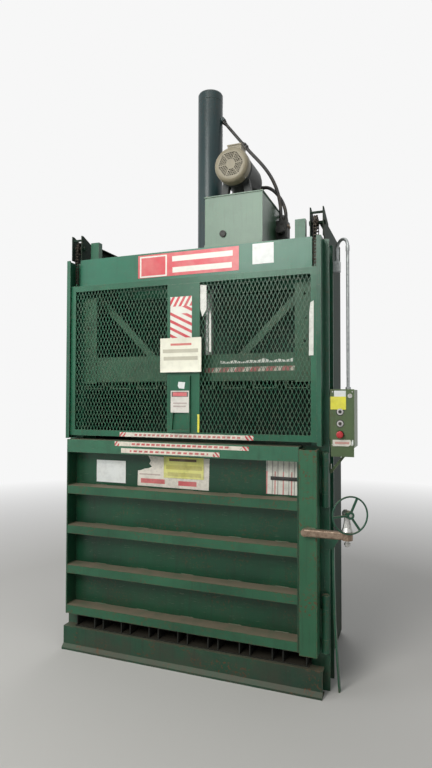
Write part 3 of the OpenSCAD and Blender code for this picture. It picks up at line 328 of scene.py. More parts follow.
# Painted shade: the side walls and the chain-wheel brackets get a far darker green than the posts, for the
# shade on the machine's sides.
shaded_wall_green = painted("shaded_wall_green", colour(22, 48, 37), colour(15, 35, 27), rough=0.62, gloss=0.12,
                     grime=0.25, streaks=0.4, wear=0.4, rust=0.25, floor_dirt=0.4, shift=9.7)
inner_green = painted("inner_green", colour(44, 76, 58), colour(32, 60, 46), rough=0.5,
                      grime=0.5, streaks=0.4, wear=0.6, rust=0.35, scuffs=0.5, shift=12.3)
press_green = painted("press_green", colour(70, 106, 80), colour(54, 90, 66), rough=0.45,
                      grime=0.45, streaks=0.3, wear=0.8, rust=0.3, scuffs=0.4, shift=2.2)
skin_green = painted("skin_green", colour(24, 78, 52), colour(16, 60, 40), rough=0.34,
                     grime=0.25, streaks=0.35, wear=0.4, rust=0.25, scuffs=0.25, floor_dirt=0.35, shift=4.4)
rib_green = painted("rib_green", colour(46, 98, 70), colour(34, 80, 56), rough=0.40,
                    grime=0.3, streaks=0.2, dust=0.95, wear=0.95, rust=0.35, scuffs=0.5,
                    edge=0.008, bare=RUST, shift=7.3)
rail_green = painted("rail_green", colour(56, 110, 83), colour(44, 94, 70), rough=0.36,
                     grime=0.3, streaks=0.25, wear=0.6, rust=0.2, scuffs=0.3, shift=1.7)
latch_green = painted("latch_green", colour(54, 108, 77), colour(42, 92, 64), rough=0.40,
                      grime=0.2, streaks=0.3, wear=0.9, rust=0.75, scuffs=0.5,
                      edge=0.010, bare=RUST, shift=8.1)
base_green = painted("base_green", colour(32, 76, 54), colour(24, 56, 41), rough=0.5,
                     grime=0.45, streaks=0.5, wear=0.8, rust=0.75, scuffs=0.45,
                     dust=0.45, floor_dirt=0.35, bare=DUST, shift=5.5)
tank_green = painted("tank_green", colour(80, 118, 92), colour(68, 104, 80), rough=0.28, grime=0.15,
                     streaks=0.2, dust=0.6, wear=0.3, rust=0.08, scuffs=0.1, shift=10.1)
cylinder_teal = painted("cylinder_teal", colour(28, 54, 55), colour(22, 44, 47), rough=0.34, grime=0.2,
                        streaks=0.3, wear=0.2, rust=0.1, scuffs=0.1, shift=11.9)
box_green = painted("box_green", colour(84, 104, 68), colour(72, 92, 60), rough=0.4, grime=0.2,
                    streaks=0.25, wear=0.6, rust=0.15, scuffs=0.3, shift=13.4)
motor_grey = painted("motor_grey", colour(54, 58, 56), colour(44, 48, 46), rough=0.5, grime=0.4,
                     streaks=0.2, dust=0.9, wear=0.2, rust=0.1, shift=14.2)
shaft_low, shaft_high = span("motor_rotor")
shaft_line = (shaft_low + shaft_high) / 2
GRILLE_R = 0.080
print("motor shaft", shaft_line)
# The fan cover's grille gets painted shade inside its holes.
cover_cream = painted("cover_cream", colour(146, 138, 116), colour(130, 122, 100),
                      rough=0.42, grime=0.25, streaks=0.2, dust=0.7, wear=0.3, rust=0.1,
                      scuffs=0.1, shift=15.5, grille=(shaft_line.x, shaft_line.z, GRILLE_R))
floor_steel = bare_metal("floor_steel", colour(44, 46, 41), colour(26, 25, 22), 0.55, 0.8, 30, 0.5, 0.2)
worn_brown = bare_metal("worn_brown", colour(150, 132, 114), colour(92, 66, 48), 0.42, 0.7, 45, 0.6, 0.1)
bright_steel = bare_metal("bright_steel", colour(182, 182, 178), colour(104, 98, 90), 0.3, 0.5, 70)
galvanised = bare_metal("galvanised", colour(168, 172, 172), colour(124, 128, 128), 0.45, 0.6, 55, 0.8, 0.15)
oiled_chain = bare_metal("oiled_chain", colour(78, 72, 64), colour(40, 34, 28), 0.45, 0.7, 90, 0.8, 0.2)
black_iron = bare_metal("black_iron", colour(62, 62, 60), colour(34, 32, 30), 0.55, 0.6, 50, 0.5, 0.4)
hose_rubber = moulded("hose_rubber", colour(32, 32, 32), 0.55, 500, 0.35, 0.3)
black_plastic = moulded("black_plastic", colour(24, 24, 25), 0.35)
red_plastic = moulded("red_plastic", colour(186, 40, 48), 0.32)
print(len(bpy.data.materials), "finishes")

# %% [markdown]
# ## Dressing the solids
# A table says which solids get which finish. It could be done solid by solid, but in
# a table a forgotten one is easy to see.

# %% Give each solid its finish
FINISH_OF = {
    header_green: ["header_panel"],
    gate_green: ["gate_frame", "gate_centre_plate", "gate_mesh", "top_frame"],
    post_green: ["left_post", "right_post", "gate_guides", "frame_hinge_knuckles",
                 "door_hinge_knuckles", "latch_hinge_knuckles", "hinge_pins", "handwheel"],
    shaded_wall_green: ["left_side_wall", "right_side_wall", "chain_wheel_brackets"],
    inner_green: ["back_wall"],
    press_green: ["platen", "platen_guides"],
    skin_green: ["door_panel"],
    rib_green: ["door_ribs"],
    rail_green: ["door_top_rail"],
    latch_green: ["latch_bar"],
    base_green: ["base_frame"],
    floor_steel: ["chamber_floor"],
    tank_green: ["oil_tank", "tank_lid"],
    cylinder_teal: ["cylinder_barrel"],
    box_green: ["control_box", "control_cover", "box_strut"],
    motor_grey: ["motor_body"],
    cover_cream: ["fan_cover", "junction_box"],
    worn_brown: ["latch_lever"],
    bright_steel: ["cylinder_gland", "button_rings", "swivel_block", "clamp_screw",
                   "piston_rod", "key_switch"],
    galvanised: ["conduit"],
    oiled_chain: ["left_chain", "right_chain", "left_rear_chain", "right_rear_chain",
                  "left_chain_wheel", "right_chain_wheel", "left_counterweight", "right_counterweight"],
    black_iron: ["motor_rotor", "pump", "valve_block", "tank_plugs", "cylinder_bolts",
                 "hose_fittings"],
    hose_rubber: ["hydraulic_hoses"],
    black_plastic: ["start_button", "selector_knob"],
    red_plastic: ["stop_button"],
}
for finish, names in FINISH_OF.items():
    for name in names:
        nodes[name].data.materials.clear()
        nodes[name].data.materials.append(finish)
print(sum(len(names) for names in FINISH_OF.values()), "solids have a finish")

# %% [markdown]
# ## Making pieces
# Every new piece is a bmesh, finished the same way: normals point out, faces are
# smooth but creases stay sharp, it has a paint, and it rides on the body that
# carries it on the machine.

# %% From bmesh to a finished piece
def piece(name, bm, finishes, body, crease=35, hides=()):
    """Turns a bmesh into a piece of the machine."""
    mesh = bpy.data.meshes.new(name)
    bm.to_mesh(mesh)
    bm.free()
    for finish in finishes:
        mesh.materials.append(finish)
    mesh.shade_smooth()
    mesh.set_sharp_from_angle(angle=math.radians(crease))
    obj = bpy.data.objects.new(name, mesh)
    bpy.context.scene.collection.objects.link(obj)
    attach(obj, body)
    if hides:
        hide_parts(*hides)
    print(name, len(mesh.polygons), "faces on", body)
    return obj


def pour(source, bm):
    """Turns the faces of one bmesh outwards and adds it to another."""
    bmesh.ops.recalc_face_normals(source, faces=source.faces[:])
    mesh = bpy.data.meshes.new("poured")
    source.to_mesh(mesh)
    source.free()
    bm.from_mesh(mesh)
    bpy.data.meshes.remove(mesh)


def rounded(bm, edges, by):
    """Rounds edges with two segments."""
    bmesh.ops.bevel(bm, geom=edges, offset=by, segments=2, profile=0.5, affect="EDGES", material=-1)


def box_into(bm, low, high, round_by):
    """Adds a box between two corners, with its edges rounded."""
    low, high = Vector(low), Vector(high)
    place = Matrix.Translation((low + high) / 2) @ Matrix.Diagonal((*(high - low), 1))
    made = bmesh.ops.create_cube(bm, size=1, matrix=place)
    rounded(bm, list({e for v in made["verts"] for e in v.link_edges}), round_by)


def turned(direction):
    """The rotation that takes Z to a direction."""
    return Vector(direction).to_track_quat("Z", "Y").to_matrix().to_4x4()


def disc_into(bm, at, direction, radius, height, sides=24, round_by=0.0):
    """Adds a cylinder that starts at a point and runs along a direction."""
    place = Matrix.Translation(at) @ turned(direction) @ Matrix.Translation((0, 0, height / 2))
    made = bmesh.ops.create_cone(bm, cap_ends=True, segments=sides, radius1=radius, radius2=radius,
                                 depth=height, matrix=place)
    if round_by > 0:
        axis = Vector(direction).normalized()
        faces = {f for v in made["verts"] for f in v.link_faces}
        top = {e for f in faces for e in f.edges if f.normal.dot(axis) > 0.99}
        rounded(bm, list(top), round_by)


# %% [markdown]
# ## Expanded metal
# The gate is glazed with expanded metal: a sheet that is slit and pulled open, so
# that it becomes a net of diamonds in one piece. The solid shows coarse openings.
# Here the real net is made from one grid: turned by 45 degrees and stretched, its
# squares become diamonds, each face is inset to leave the strands, the middles
# are deleted, and the net gets its thickness.

# %% The net of the gate
DIAMOND_W = 0.0234
DIAMOND_H = 0.0508
STRAND = 0.0030
NET_T = 0.0022


def net_into(bm, low, high):
    """Adds one pane of expanded metal between two corners, in the XZ plane."""
    net = bmesh.new()
    count = math.ceil((high.x - low.x) / DIAMOND_W + (high.z - low.z) / DIAMOND_H) + 2
    bmesh.ops.create_grid(net, x_segments=count, y_segments=count, size=count / 2)
    half = math.sqrt(0.5)
    to_diamonds = (Matrix.Translation(((low.x + high.x) / 2, low.y, (low.z + high.z) / 2))
                   @ Matrix.Diagonal((DIAMOND_W * half, 1, DIAMOND_H * half, 1))
                   @ Matrix.Rotation(math.radians(90), 4, "X")
                   @ Matrix.Rotation(math.radians(45), 4, "Z"))
    net.transform(to_diamonds)
    for point, outward in ((low, (-1, 0, 0)), (high, (1, 0, 0)), (low, (0, 0, -1)), (high, (0, 0, 1))):
        everything = net.verts[:] + net.edges[:] + net.faces[:]
        bmesh.ops.bisect_plane(net, geom=everything, plane_co=point, plane_no=outward, clear_outer=True)
    holes = [f for f in net.faces if f.calc_area() > 0.15 * DIAMOND_W * DIAMOND_H]
    rims = bmesh.ops.inset_individual(net, faces=holes, thickness=STRAND / 2, use_even_offset=True)
    bmesh.ops.delete(net, geom=holes, context="FACES")
    print("net strands", len(rims["faces"]))
    bmesh.ops.solidify(net, geom=net.faces[:], thickness=NET_T)
    pour(net, bm)


mesh_low, mesh_high = span("gate_mesh")
MULLION = 0.0915
net_y = mesh_low.y + 0.0009
bm = bmesh.new()
net_into(bm, Vector((mesh_low.x, net_y, mesh_low.z)), Vector((-MULLION, 0, mesh_high.z)))
net_into(bm, Vector((MULLION, net_y, mesh_low.z)), Vector((mesh_high.x, 0, mesh_high.z)))
piece("gate_net", bm, [gate_green], "gate", hides=["gate_mesh"])

# %% [markdown]
# ## Roller chain
# The gate hangs on two roller chains, which run over a toothed wheel to a weight
# inside each post. One link of each kind is made once: a disc, pulled apart by the
# pitch of the chain and pinched in the middle, is one plate. Copies are stamped
# along the run, the inner and the outer plates in turn.

# %% One link
PITCH = 0.01905
LINK_R = 0.0073
ROLLER_R = 0.0044
ROLLER_W = 0.0098
PIN_R = 0.0029
WAIST = 0.72


def link_plate_into(bm, x0, x1):
    """Adds one link plate between two X places, with its pins a pitch apart along Z."""
    flat = Matrix.Translation((x0, 0, 0)) @ Matrix.Rotation(math.radians(90), 4, "Y")
    made = bmesh.ops.create_circle(bm, cap_ends=True, segments=12, radius=LINK_R, matrix=flat)
    for v in made["verts"]:
        v.co.z += math.copysign(PITCH / 2, v.co.z)
    sides = {e for v in made["verts"] for e in v.link_edges if e.calc_length() > PITCH * 0.8}
    cut = bmesh.ops.subdivide_edges(bm, edges=list(sides), cuts=1)
    middle = [v for v in cut["geom_inner"] if isinstance(v, bmesh.types.BMVert)]
    bmesh.ops.scale(bm, vec=(1, WAIST, 1), verts=middle)
    face = middle[0].link_faces[0]
    drawn = bmesh.ops.extrude_face_region(bm, geom=[face], use_keep_orig=True)
    moved = [v for v in drawn["geom"] if isinstance(v, bmesh.types.BMVert)]
    bmesh.ops.translate(bm, verts=moved, vec=(x1 - x0, 0, 0))


def stamp(bm, source, matrix):
    """Adds a copy of a mesh at another place."""
    copy = source.copy()
    copy.transform(matrix)
    bm.from_mesh(copy)
    bpy.data.meshes.remove(copy)


def link_mesh(name, plates):
    """One link: its two plates, given by their X places, and its two pins."""
    bm = bmesh.new()
    for x0, x1 in plates:
        link_plate_into(bm, x0, x1)
    for end in (-PITCH / 2, PITCH / 2):
        reach = max(x1 for x0, x1 in plates) + 0.0002
        disc_into(bm, Vector((-reach, 0, end)), (1, 0, 0), PIN_R, 2 * reach, sides=8)
    bmesh.ops.recalc_face_normals(bm, faces=bm.faces[:])
    mesh = bpy.data.meshes.new(name)
    bm.to_mesh(mesh)
    bm.free()
    return mesh


outer_link = link_mesh("outer_link", [(-0.0088, -0.0071), (0.0071, 0.0088)])
inner_link = link_mesh("inner_link", [(-0.0069, -0.0051), (0.0051, 0.0069)])

# %% [markdown]
# ## Hanging the chain
# A run is a list of points one pitch apart: up from the lug of the gate, and half
# round the wheel. An array on a curve could lay the links too, but stamped links
# need no modifier.

# %% The runs over the wheels
wheel_low, wheel_high = span("right_chain_wheel")
hub = (wheel_low + wheel_high) / 2
CHAIN_R = PITCH / 2 / math.sin(math.radians(15))
lug_z = gate_high.z - 0.010
print("chain wheel", hub, "lug", lug_z)


def chain_into(bm, points, side):
    """Stamps links between neighbouring points (Y, Z), on the left or right side."""
    for i, (a, b) in enumerate(zip(points, points[1:])):
        middle = Vector((side * hub.x, (a[0] + b[0]) / 2, (a[1] + b[1]) / 2))
        lean = math.atan2(-(b[0] - a[0]), b[1] - a[1])
        place = Matrix.Translation(middle) @ Matrix.Rotation(lean, 4, "X")
        stamp(bm, (outer_link, inner_link)[i % 2], place)
        roller = Vector((side * hub.x - ROLLER_W / 2, *a))
        disc_into(bm, roller, (1, 0, 0), ROLLER_R, ROLLER_W, sides=10)


FRONT_LINKS = 13
run_z = [hub.z - (hub.z - lug_z) * i / FRONT_LINKS for i in range(FRONT_LINKS + 1)]
front_points = [(hub.y - CHAIN_R, z) for z in reversed(run_z)]
wrap_angles = [math.radians(30 * i) for i in range(7)]
wrap_points = [(hub.y - CHAIN_R * math.cos(a), hub.z + CHAIN_R * math.sin(a)) for a in wrap_angles]
for side, word in ((-1, "left"), (1, "right")):
    bm = bmesh.new()
    chain_into(bm, front_points, side)
    hanging = piece(word + "_front_chain", bm, [oiled_chain], "frame")
    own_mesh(hanging)
    bm = bmesh.new()
    chain_into(bm, wrap_points, side)
    piece(word + "_wheel_chain", bm, [oiled_chain], "frame", hides=[word + "_chain"])

# %% [markdown]
# ## Hoses
# The three hoses and the slanting pipe are held at both ends, so they keep their
# place. The solids have ten flat sides. Here a round section follows the same
# curve: a Blender curve with a bevel depth is a smooth tube, and it is made a mesh
# at once, because a mesh is what rides on the machine.

# %% Smooth hoses
barrel_high = span("cylinder_barrel")[1]
valve_low, valve_high = span("valve_block")
HOSE_R = 0.011
tilt = math.radians(142)
port_dir = Vector((math.sin(tilt), 0, math.cos(tilt)))
port_face = Vector((0.079, 0, barrel_high.z - 0.178)) + 0.026 * port_dir
pipe_start = port_face + 0.026 * port_dir
pipe_end = pipe_start + 0.190 * port_dir
union_end = pipe_end + 0.050 * port_dir
UP, BACK, RIGHT = Vector((0, 0, 1)), Vector((0, 1, 0)), Vector((1, 0, 0))
valve_x, valve_y, valve_z = 0.459, -0.020, 2.738
hose_ends = {
    "upper": (union_end, port_dir, 0.130 * port_dir,
              Vector((valve_x + 0.026, valve_y + 0.018, valve_z)), UP, 0.260 * UP),
    "lower": (Vector((0, 0.129, 2.539)), BACK, 0.260 * BACK,
              Vector((valve_x + 0.026, valve_y + 0.062, valve_z)), UP, Vector((0, 0.220, 0.170))),
    "pump": (Vector((0.359, 0.052, 2.966)), RIGHT, 0.060 * RIGHT,
             Vector((valve_x + 0.054, valve_y + 0.040, valve_z)), UP, 0.110 * UP),
}
print("valve", valve_low, valve_high)


def tube(name, points, radius, finish, body, hides=()):
    """A round tube along a line of points."""
    line = bpy.data.curves.new(name + "_line", "CURVE")
    line.dimensions = "3D"
    line.bevel_depth = radius
    line.bevel_resolution = 5
    line.use_fill_caps = True
    spline = line.splines.new("POLY")
    spline.points.add(len(points) - 1)
    for point, place in zip(spline.points, points):
        point.co = (*place, 1)
    holder = bpy.data.objects.new(name + "_line", line)
    bpy.context.scene.collection.objects.link(holder)
    bpy.context.view_layer.update()
    mesh = bpy.data.meshes.new_from_object(holder.evaluated_get(bpy.context.evaluated_depsgraph_get()))
    bpy.data.objects.remove(holder)
    bm = bmesh.new()
    bm.from_mesh(mesh)
    bmesh.ops.remove_doubles(bm, verts=bm.verts[:], dist=1e-6)
    bmesh.ops.recalc_face_normals(bm, faces=bm.faces[:])
    return piece(name, bm, [finish], body, hides=hides)


def bezier(a, b, c, d, t):
    """A point on a curve with two ends and two handles."""
    return (1 - t) ** 3 * a + 3 * (1 - t) ** 2 * t * b + 3 * (1 - t) * t * t * c + t ** 3 * d


STRAIGHT = 0.008
for word, (a, out_a, handle_a, b, out_b, handle_b) in hose_ends.items():
    bend = (a + STRAIGHT * out_a, a + handle_a, b + handle_b, b + STRAIGHT * out_b)
    middle = [bezier(*bend, i / 36) for i in range(37)]
    tube(word + "_hose", [a, *middle, b], HOSE_R, hose_rubber, "frame")
tube("feed_pipe", [pipe_start, pipe_end], HOSE_R - 0.001, black_iron, "frame",
     hides=["hydraulic_hoses"])

# %% [markdown]
# ## Signs, stickers and tape
# Years of use have left the machine covered with them. Their places and colours
# stay, with plain marks: fields, bars and the slanting stripes that are common on
# machines. One function gives the printed finish: a paper colour, marks on it in
# order, then grime. Each mark is a rectangle or slanting stripes in a rectangle.

# %% Printed finishes
def patch(x0, x1, z0, z1):
    """A mark: a rectangle."""
    return lambda f: f.field(x0, x1, z0, z1)


def slanting(x0, x1, z0, z1, lean, period, share=0.5):
    """A mark: slanting stripes in a rectangle."""
    return lambda f: f.math("MULTIPLY", f.field(x0, x1, z0, z1), f.stripes(lean, period, share))


def printed(name, paper, marks=(), rough=0.42, dirt=0.3, torn=0.0):
    """A sticker, plate or tape: marks of colour on paper, soiled by use."""
    f = Finish(name, rough)
    base = paper
    for tone, area in marks:
        base = f.mix(area(f), base, tone)
    fade = f.between(f.noise(9, detail=3), 0.35, 0.70, 0.0, 0.18)
    base = f.mix(fade, base, colour(226, 222, 206))
    if torn > 0:
        scraped = f.math("MULTIPLY", f.between(f.noise(48, detail=6, rough=0.7), 0.60, 0.64), torn)
        base = f.mix(scraped, base, colour(96, 108, 88))
    soil = f.math("MULTIPLY", f.between(f.noise(26, detail=8, rough=0.66), 0.46, 0.72), dirt)
    base = f.mix(soil, base, colour(84, 78, 64))
    f.bump(f.noise(35, detail=3), 0.25, 0.0015)
    shine = f.mix(soil, (rough,) * 3 + (1,), (0.8,) * 3 + (1,))
    return f.done(base, shine)


RED = colour(206, 52, 66)
WHITE = colour(236, 236, 226)
CREAM = colour(244, 243, 224)
INK = colour(54, 52, 50)
YELLOW = colour(238, 232, 60)
sign_red = printed("sign_red", colour(214, 56, 70), [
    (WHITE, patch(-0.318, -0.132, 2.329, 2.460)),
    (colour(214, 56, 70), patch(-0.308, -0.142, 2.338, 2.451)),
    (WHITE, patch(-0.097, 0.293, 2.414, 2.446)),
    (WHITE, patch(-0.094, 0.288, 2.345, 2.378))], rough=0.3, dirt=0.12)
blank_white = printed("blank_white", colour(234, 238, 236), rough=0.35, dirt=0.15)
hazard = printed("hazard_plate", WHITE, [
    (RED, slanting(-0.2, 0.2, 1.9, 2.128, -0.50, 0.0435, 0.42)),
    (RED, slanting(-0.2, 0.2, 2.128, 2.3, 1.75, 0.062, 0.50)),
    (WHITE, slanting(-0.086, 0.056, 2.085, 2.128, -0.50, 0.0870, 0.30))], rough=0.35, dirt=0.1)
notice = printed("cream_notice", CREAM, [
    (colour(214, 110, 104), patch(-0.075, 0.060, 1.893, 1.906)),
    (colour(196, 192, 172), patch(-0.125, 0.103, 1.850, 1.872)),
    (colour(196, 192, 172), patch(-0.120, 0.100, 1.806, 1.828))], dirt=0.12)
red_top_plate = printed("red_top_plate", colour(226, 222, 214), [
    (INK, patch(-0.068, 0.038, 1.590, 1.620)),
    (colour(222, 96, 104), patch(-0.060, 0.030, 1.594, 1.616)),
    (colour(188, 172, 166), patch(-0.058, 0.030, 1.548, 1.556)),
    (colour(188, 172, 166), patch(-0.058, 0.024, 1.530, 1.538))], dirt=0.25)
gate_tape = printed("gate_tape", colour(228, 220, 206), [
    (RED, slanting(-0.43, -0.385, 1.33, 1.39, 1.2, 0.030)),
    (RED, slanting(0.385, 0.44, 1.33, 1.39, -1.2, 0.030)),
    (colour(206, 120, 116), slanting(-0.33, 0.36, 1.352, 1.364, 6.0, 0.18, 0.62))], dirt=0.45, torn=0.6)
door_tape = printed("door_tape", colour(230, 222, 206), [
    (RED, slanting(-0.45, -0.415, 1.24, 1.32, 1.2, 0.030)),
    (RED, slanting(0.375, 0.42, 1.28, 1.32, -1.2, 0.030)),
    (RED, slanting(0.200, 0.245, 1.24, 1.28, -1.2, 0.030)),
    (colour(208, 92, 94), slanting(-0.33, 0.30, 1.297, 1.309, 6.0, 0.20, 0.70)),
    (colour(208, 92, 94), slanting(-0.34, 0.17, 1.255, 1.266, 6.0, 0.22, 0.62))], dirt=0.4, torn=0.45)
platen_tape = printed("platen_tape", colour(216, 206, 192), [
    (colour(190, 100, 100), slanting(0.08, 0.66, 1.72, 1.78, 1.4, 0.13, 0.55))], dirt=0.5, torn=0.5)
old_white = printed("old_white", colour(232, 234, 226), rough=0.5, dirt=0.3, torn=0.35)
chart = printed("old_chart", colour(226, 226, 216), [
    (colour(150, 146, 140), slanting(0.49, 0.70, 1.03, 1.24, 60.0, 1.9, 0.16)),
    (colour(206, 110, 108), slanting(0.49, 0.70, 1.03, 1.17, 60.0, 2.85, 0.14))],
    rough=0.5, dirt=0.3, torn=0.2)
warn_white = printed("torn_white", colour(232, 226, 214), [
    (colour(212, 96, 100), patch(-0.315, -0.150, 1.058, 1.086)),
    (colour(212, 96, 100), patch(-0.060, 0.060, 1.054, 1.082)),
    (colour(196, 176, 168), patch(-0.325, -0.180, 1.108, 1.116))], rough=0.5, dirt=0.3, torn=0.25)
paper_yellow = printed("paper_yellow", colour(226, 224, 128), [
    (colour(96, 78, 52), patch(-0.120, 0.060, 1.200, 1.216)),
    (colour(196, 190, 104), patch(-0.140, 0.095, 1.150, 1.176)),
    (colour(196, 190, 104), patch(-0.130, 0.090, 1.108, 1.132))], rough=0.5, dirt=0.3)
bright_yellow = printed("bright_yellow", YELLOW, rough=0.4, dirt=0.15)
box_label = printed("box_label", colour(226, 222, 210), [
    (colour(206, 150, 140), patch(0.880, 0.955, 1.338, 1.350))], dirt=0.3)
print(len(bpy.data.materials), "finishes")

# %% [markdown]
# ## Paper and tape
# Tape lies flat, so it is a drawn outline with a little thickness. Paper is a fine
# grid whose edges come away. A cloth simulation could curl it too, but a grid with a
# fixed seed gives the same sheet on each run.

# %% Thin sheets, flat or a little curled
PAPER = 0.0005


def sheet_into(bm, outline, y, thick=0.0008):
    """Adds a thin sheet from its outline in the XZ plane, on a face that looks forwards."""
    face = bm.faces.new([bm.verts.new((x, y, z)) for x, z in outline])
    made = bmesh.ops.extrude_face_region(bm, geom=[face], use_keep_orig=True)
    moved = [v for v in made["geom"] if isinstance(v, bmesh.types.BMVert)]
    bmesh.ops.translate(bm, verts=moved, vec=(0, -thick, 0))
    bmesh.ops.recalc_face_normals(bm, faces=bm.faces[:])


def rectangle(x0, x1, z0, z1):
    return [(x0, z0), (x1, z0), (x1, z1), (x0, z1)]


def paper_into(bm, x0, x1, z0, z1, y, lift, seed):
    """Adds a sheet of paper whose edges have come away a little."""
    chance = random.Random(seed)
    place = (Matrix.Translation(((x0 + x1) / 2, y, (z0 + z1) / 2)) @ Matrix.Rotation(math.radians(90), 4, "X")
             @ Matrix.Diagonal(((x1 - x0) / 2, (z1 - z0) / 2, 1, 1)))
    leaf = bmesh.new()
    bmesh.ops.create_grid(leaf, x_segments=14, y_segments=12, size=1, matrix=place)
    phase = chance.uniform(0, 6)
    for v in leaf.verts:
        u = (v.co.x - x0) / (x1 - x0) * 2 - 1
        w = (v.co.z - z0) / (z1 - z0) * 2 - 1
        curl = lift * max(abs(u), abs(w)) ** 6
        wave = 0.25 * lift * (1 + math.sin(5 * u + phase) * math.cos(4 * w + phase))
        v.co.y -= curl + wave + 0.0004
    bmesh.ops.solidify(leaf, geom=leaf.faces[:], thickness=PAPER)
    pour(leaf, bm)


def sheets(name, finish, body, outlines, y, thick=0.0008):
    """One piece made of flat sheets."""
    bm = bmesh.new()
    for outline in outlines:
        sheet_into(bm, outline, y, thick)
    piece(name, bm, [finish], body)


def paper(name, finish, body, slot, place, y, lift, seed):
    """One piece made of a sheet of paper; place is its two X and its two Z."""
    bm = bmesh.new()
    paper_into(bm, *place, y, lift, seed)
    piece(name, bm, [finish], body)


# %% [markdown]
# ## Where the upper sheets go
# Each sheet is a piece on the body that carries it, so that it moves with the gate.
# The two strips lie in front of the strands of the net.

# %% Signs on the header and the gate
header_y = header_low.y
gate_y = gate_low.y
channel_y = centre_low.y
strip_y = mesh_low.y - 0.0006
sheets("header_sign", sign_red, "frame",
       [rectangle(-0.331, 0.331, 2.3265, 2.4685)], header_y, 0.0012)
sheets("header_plate", blank_white, "frame",
       [rectangle(0.413, 0.539, 2.352, 2.470)], header_y)
sheets("hazard_plate", hazard, "gate",
       [rectangle(-0.085, 0.055, 1.930, 2.186)], gate_y)
paper("notice", notice, "gate", "cover_paint",
      (-0.141, 0.124, 1.735, 1.938), channel_y - 0.0010, 0.005, seed=3)
sheets("small_tag", blank_white, "gate",
       [[(-0.021, 1.640), (0.013, 1.637), (0.019, 1.676), (-0.024, 1.679), (-0.028, 1.655)]],
       channel_y)
sheets("red_top_plate", red_top_plate, "gate",
       [rectangle(-0.074, 0.044, 1.497, 1.626)], channel_y)
sheets("gate_tape", gate_tape, "gate",
       [rectangle(-0.428, 0.433, 1.3455, 1.3720)], gate_y, 0.0004)
sheets("stile_tape", old_white, "gate",
       [[(0.747, 1.816), (0.772, 1.816), (0.774, 2.060), (0.774, 2.115), (0.756, 2.104),
         (0.750, 2.050)]], gate_y, 0.0006)
sheets("yellow_strip", bright_yellow, "gate",
       [rectangle(0.0925, 0.1045, 1.383, 1.488)], gate_y, 0.0008)
sheets("mesh_strips", old_white, "gate",
       [[(0.1065, 2.106), (0.121, 2.059), (0.146, 2.103), (0.146, 2.243), (0.1065, 2.247)],
        [(0.163, 1.853), (0.175, 1.851), (0.174, 2.060), (0.169, 2.099), (0.164, 2.070)]],
       strip_y, 0.0006)

# %% [markdown]
# ## Where the lower sheets go
# The door carries tapes on its top rail, three sheets, and a chart with a clip. The
# press carries two strips, which move down with it, and the control box its tags.

# %% Signs on the door, the press and the box
rail_y = span("door_top_rail")[0].y
skin_y = -0.368
platen_y = span("platen")[0].y
cover_y = span("control_cover")[0].y
sheets("door_tape", door_tape, "door",
       [[(-0.446, 1.2890), (0.415, 1.2890), (0.4145, 1.3115), (-0.447, 1.3165)],
        [(-0.401, 1.2480), (0.241, 1.2470), (0.2405, 1.2730), (-0.4015, 1.2770)]],
       rail_y, 0.0004)
paper("blank_sheet", blank_white, "door", "tank_paint",
      (-0.633, -0.421, 1.048, 1.187), skin_y, 0.002, seed=5)
sheets("torn_sheet", warn_white, "door",
       [[(-0.338, 1.040), (0.138, 1.036), (0.143, 1.224), (-0.150, 1.222), (-0.262, 1.226),
         (-0.246, 1.196), (-0.256, 1.178), (-0.238, 1.160), (-0.262, 1.150), (-0.290, 1.146),
         (-0.312, 1.136), (-0.335, 1.132)]], skin_y, 0.0005)
paper("yellow_sheet", paper_yellow, "door", "cover_paint",
      (-0.156, 0.107, 1.098, 1.226), skin_y - 0.0006, 0.002, seed=8)
paper("door_chart", chart, "door", "tank_paint",
      (0.490, 0.676, 1.042, 1.232), skin_y, 0.002, seed=9)
bm = bmesh.new()
box_into(bm, (0.516, skin_y - 0.0075, 1.122), (0.678, skin_y - 0.0030, 1.142), 0.0015)
piece("chart_clip", bm, [black_iron], "door")
sheets("platen_tape", platen_tape, "press_ram",
       [[(0.105, 1.734), (0.652, 1.741), (0.652, 1.767), (0.106, 1.763)]], platen_y, 0.0005)
sheets("platen_remnant", old_white, "press_ram",
       [[(0.205, 1.786), (0.640, 1.790), (0.640, 1.812), (0.598, 1.800), (0.560, 1.808),
         (0.515, 1.797), (0.470, 1.815), (0.430, 1.800), (0.385, 1.806), (0.340, 1.794),
         (0.290, 1.806), (0.250, 1.796), (0.205, 1.804)]], platen_y, 0.0005)
sheets("box_white_tags", blank_white, "frame",
       [rectangle(0.876, 0.938, 1.592, 1.624),
        [(0.966, 1.330), (0.976, 1.332), (0.976, 1.362), (0.970, 1.362)]], cover_y)
sheets("box_yellow_tag", bright_yellow, "frame",
       [rectangle(0.857, 0.939, 1.523, 1.5925)], cover_y - 0.0009)
sheets("box_label", box_label, "frame",
       [[(0.868, 1.326), (0.950, 1.327), (0.964, 1.334), (0.966, 1.350), (0.960, 1.362),
         (0.868, 1.360)]], cover_y)

# %% [markdown]
# ## Bolts and screws
# Small fasteners give the machine its scale. A bolt is a washer and a six-sided head
# with a rounded top edge, and a screw is a low round head. Threads don't show, so
# none are made.

# %% Bolts
def bolt_into(bm, at, out, size):
    """Adds a washer and a hexagon head; size is the diameter of its thread."""
    at, out = Vector(at), Vector(out).normalized()
    washer = size * 0.16
    disc_into(bm, at, out, size * 1.05, washer, sides=18)
    disc_into(bm, at + out * washer, out, size * 0.92, size * 0.62, sides=6, round_by=size * 0.1)


def screw_into(bm, at, out, radius):
    """Adds a low round screw head."""
    disc_into(bm, Vector(at), out, radius, radius * 0.6, sides=16, round_by=radius * 0.35)


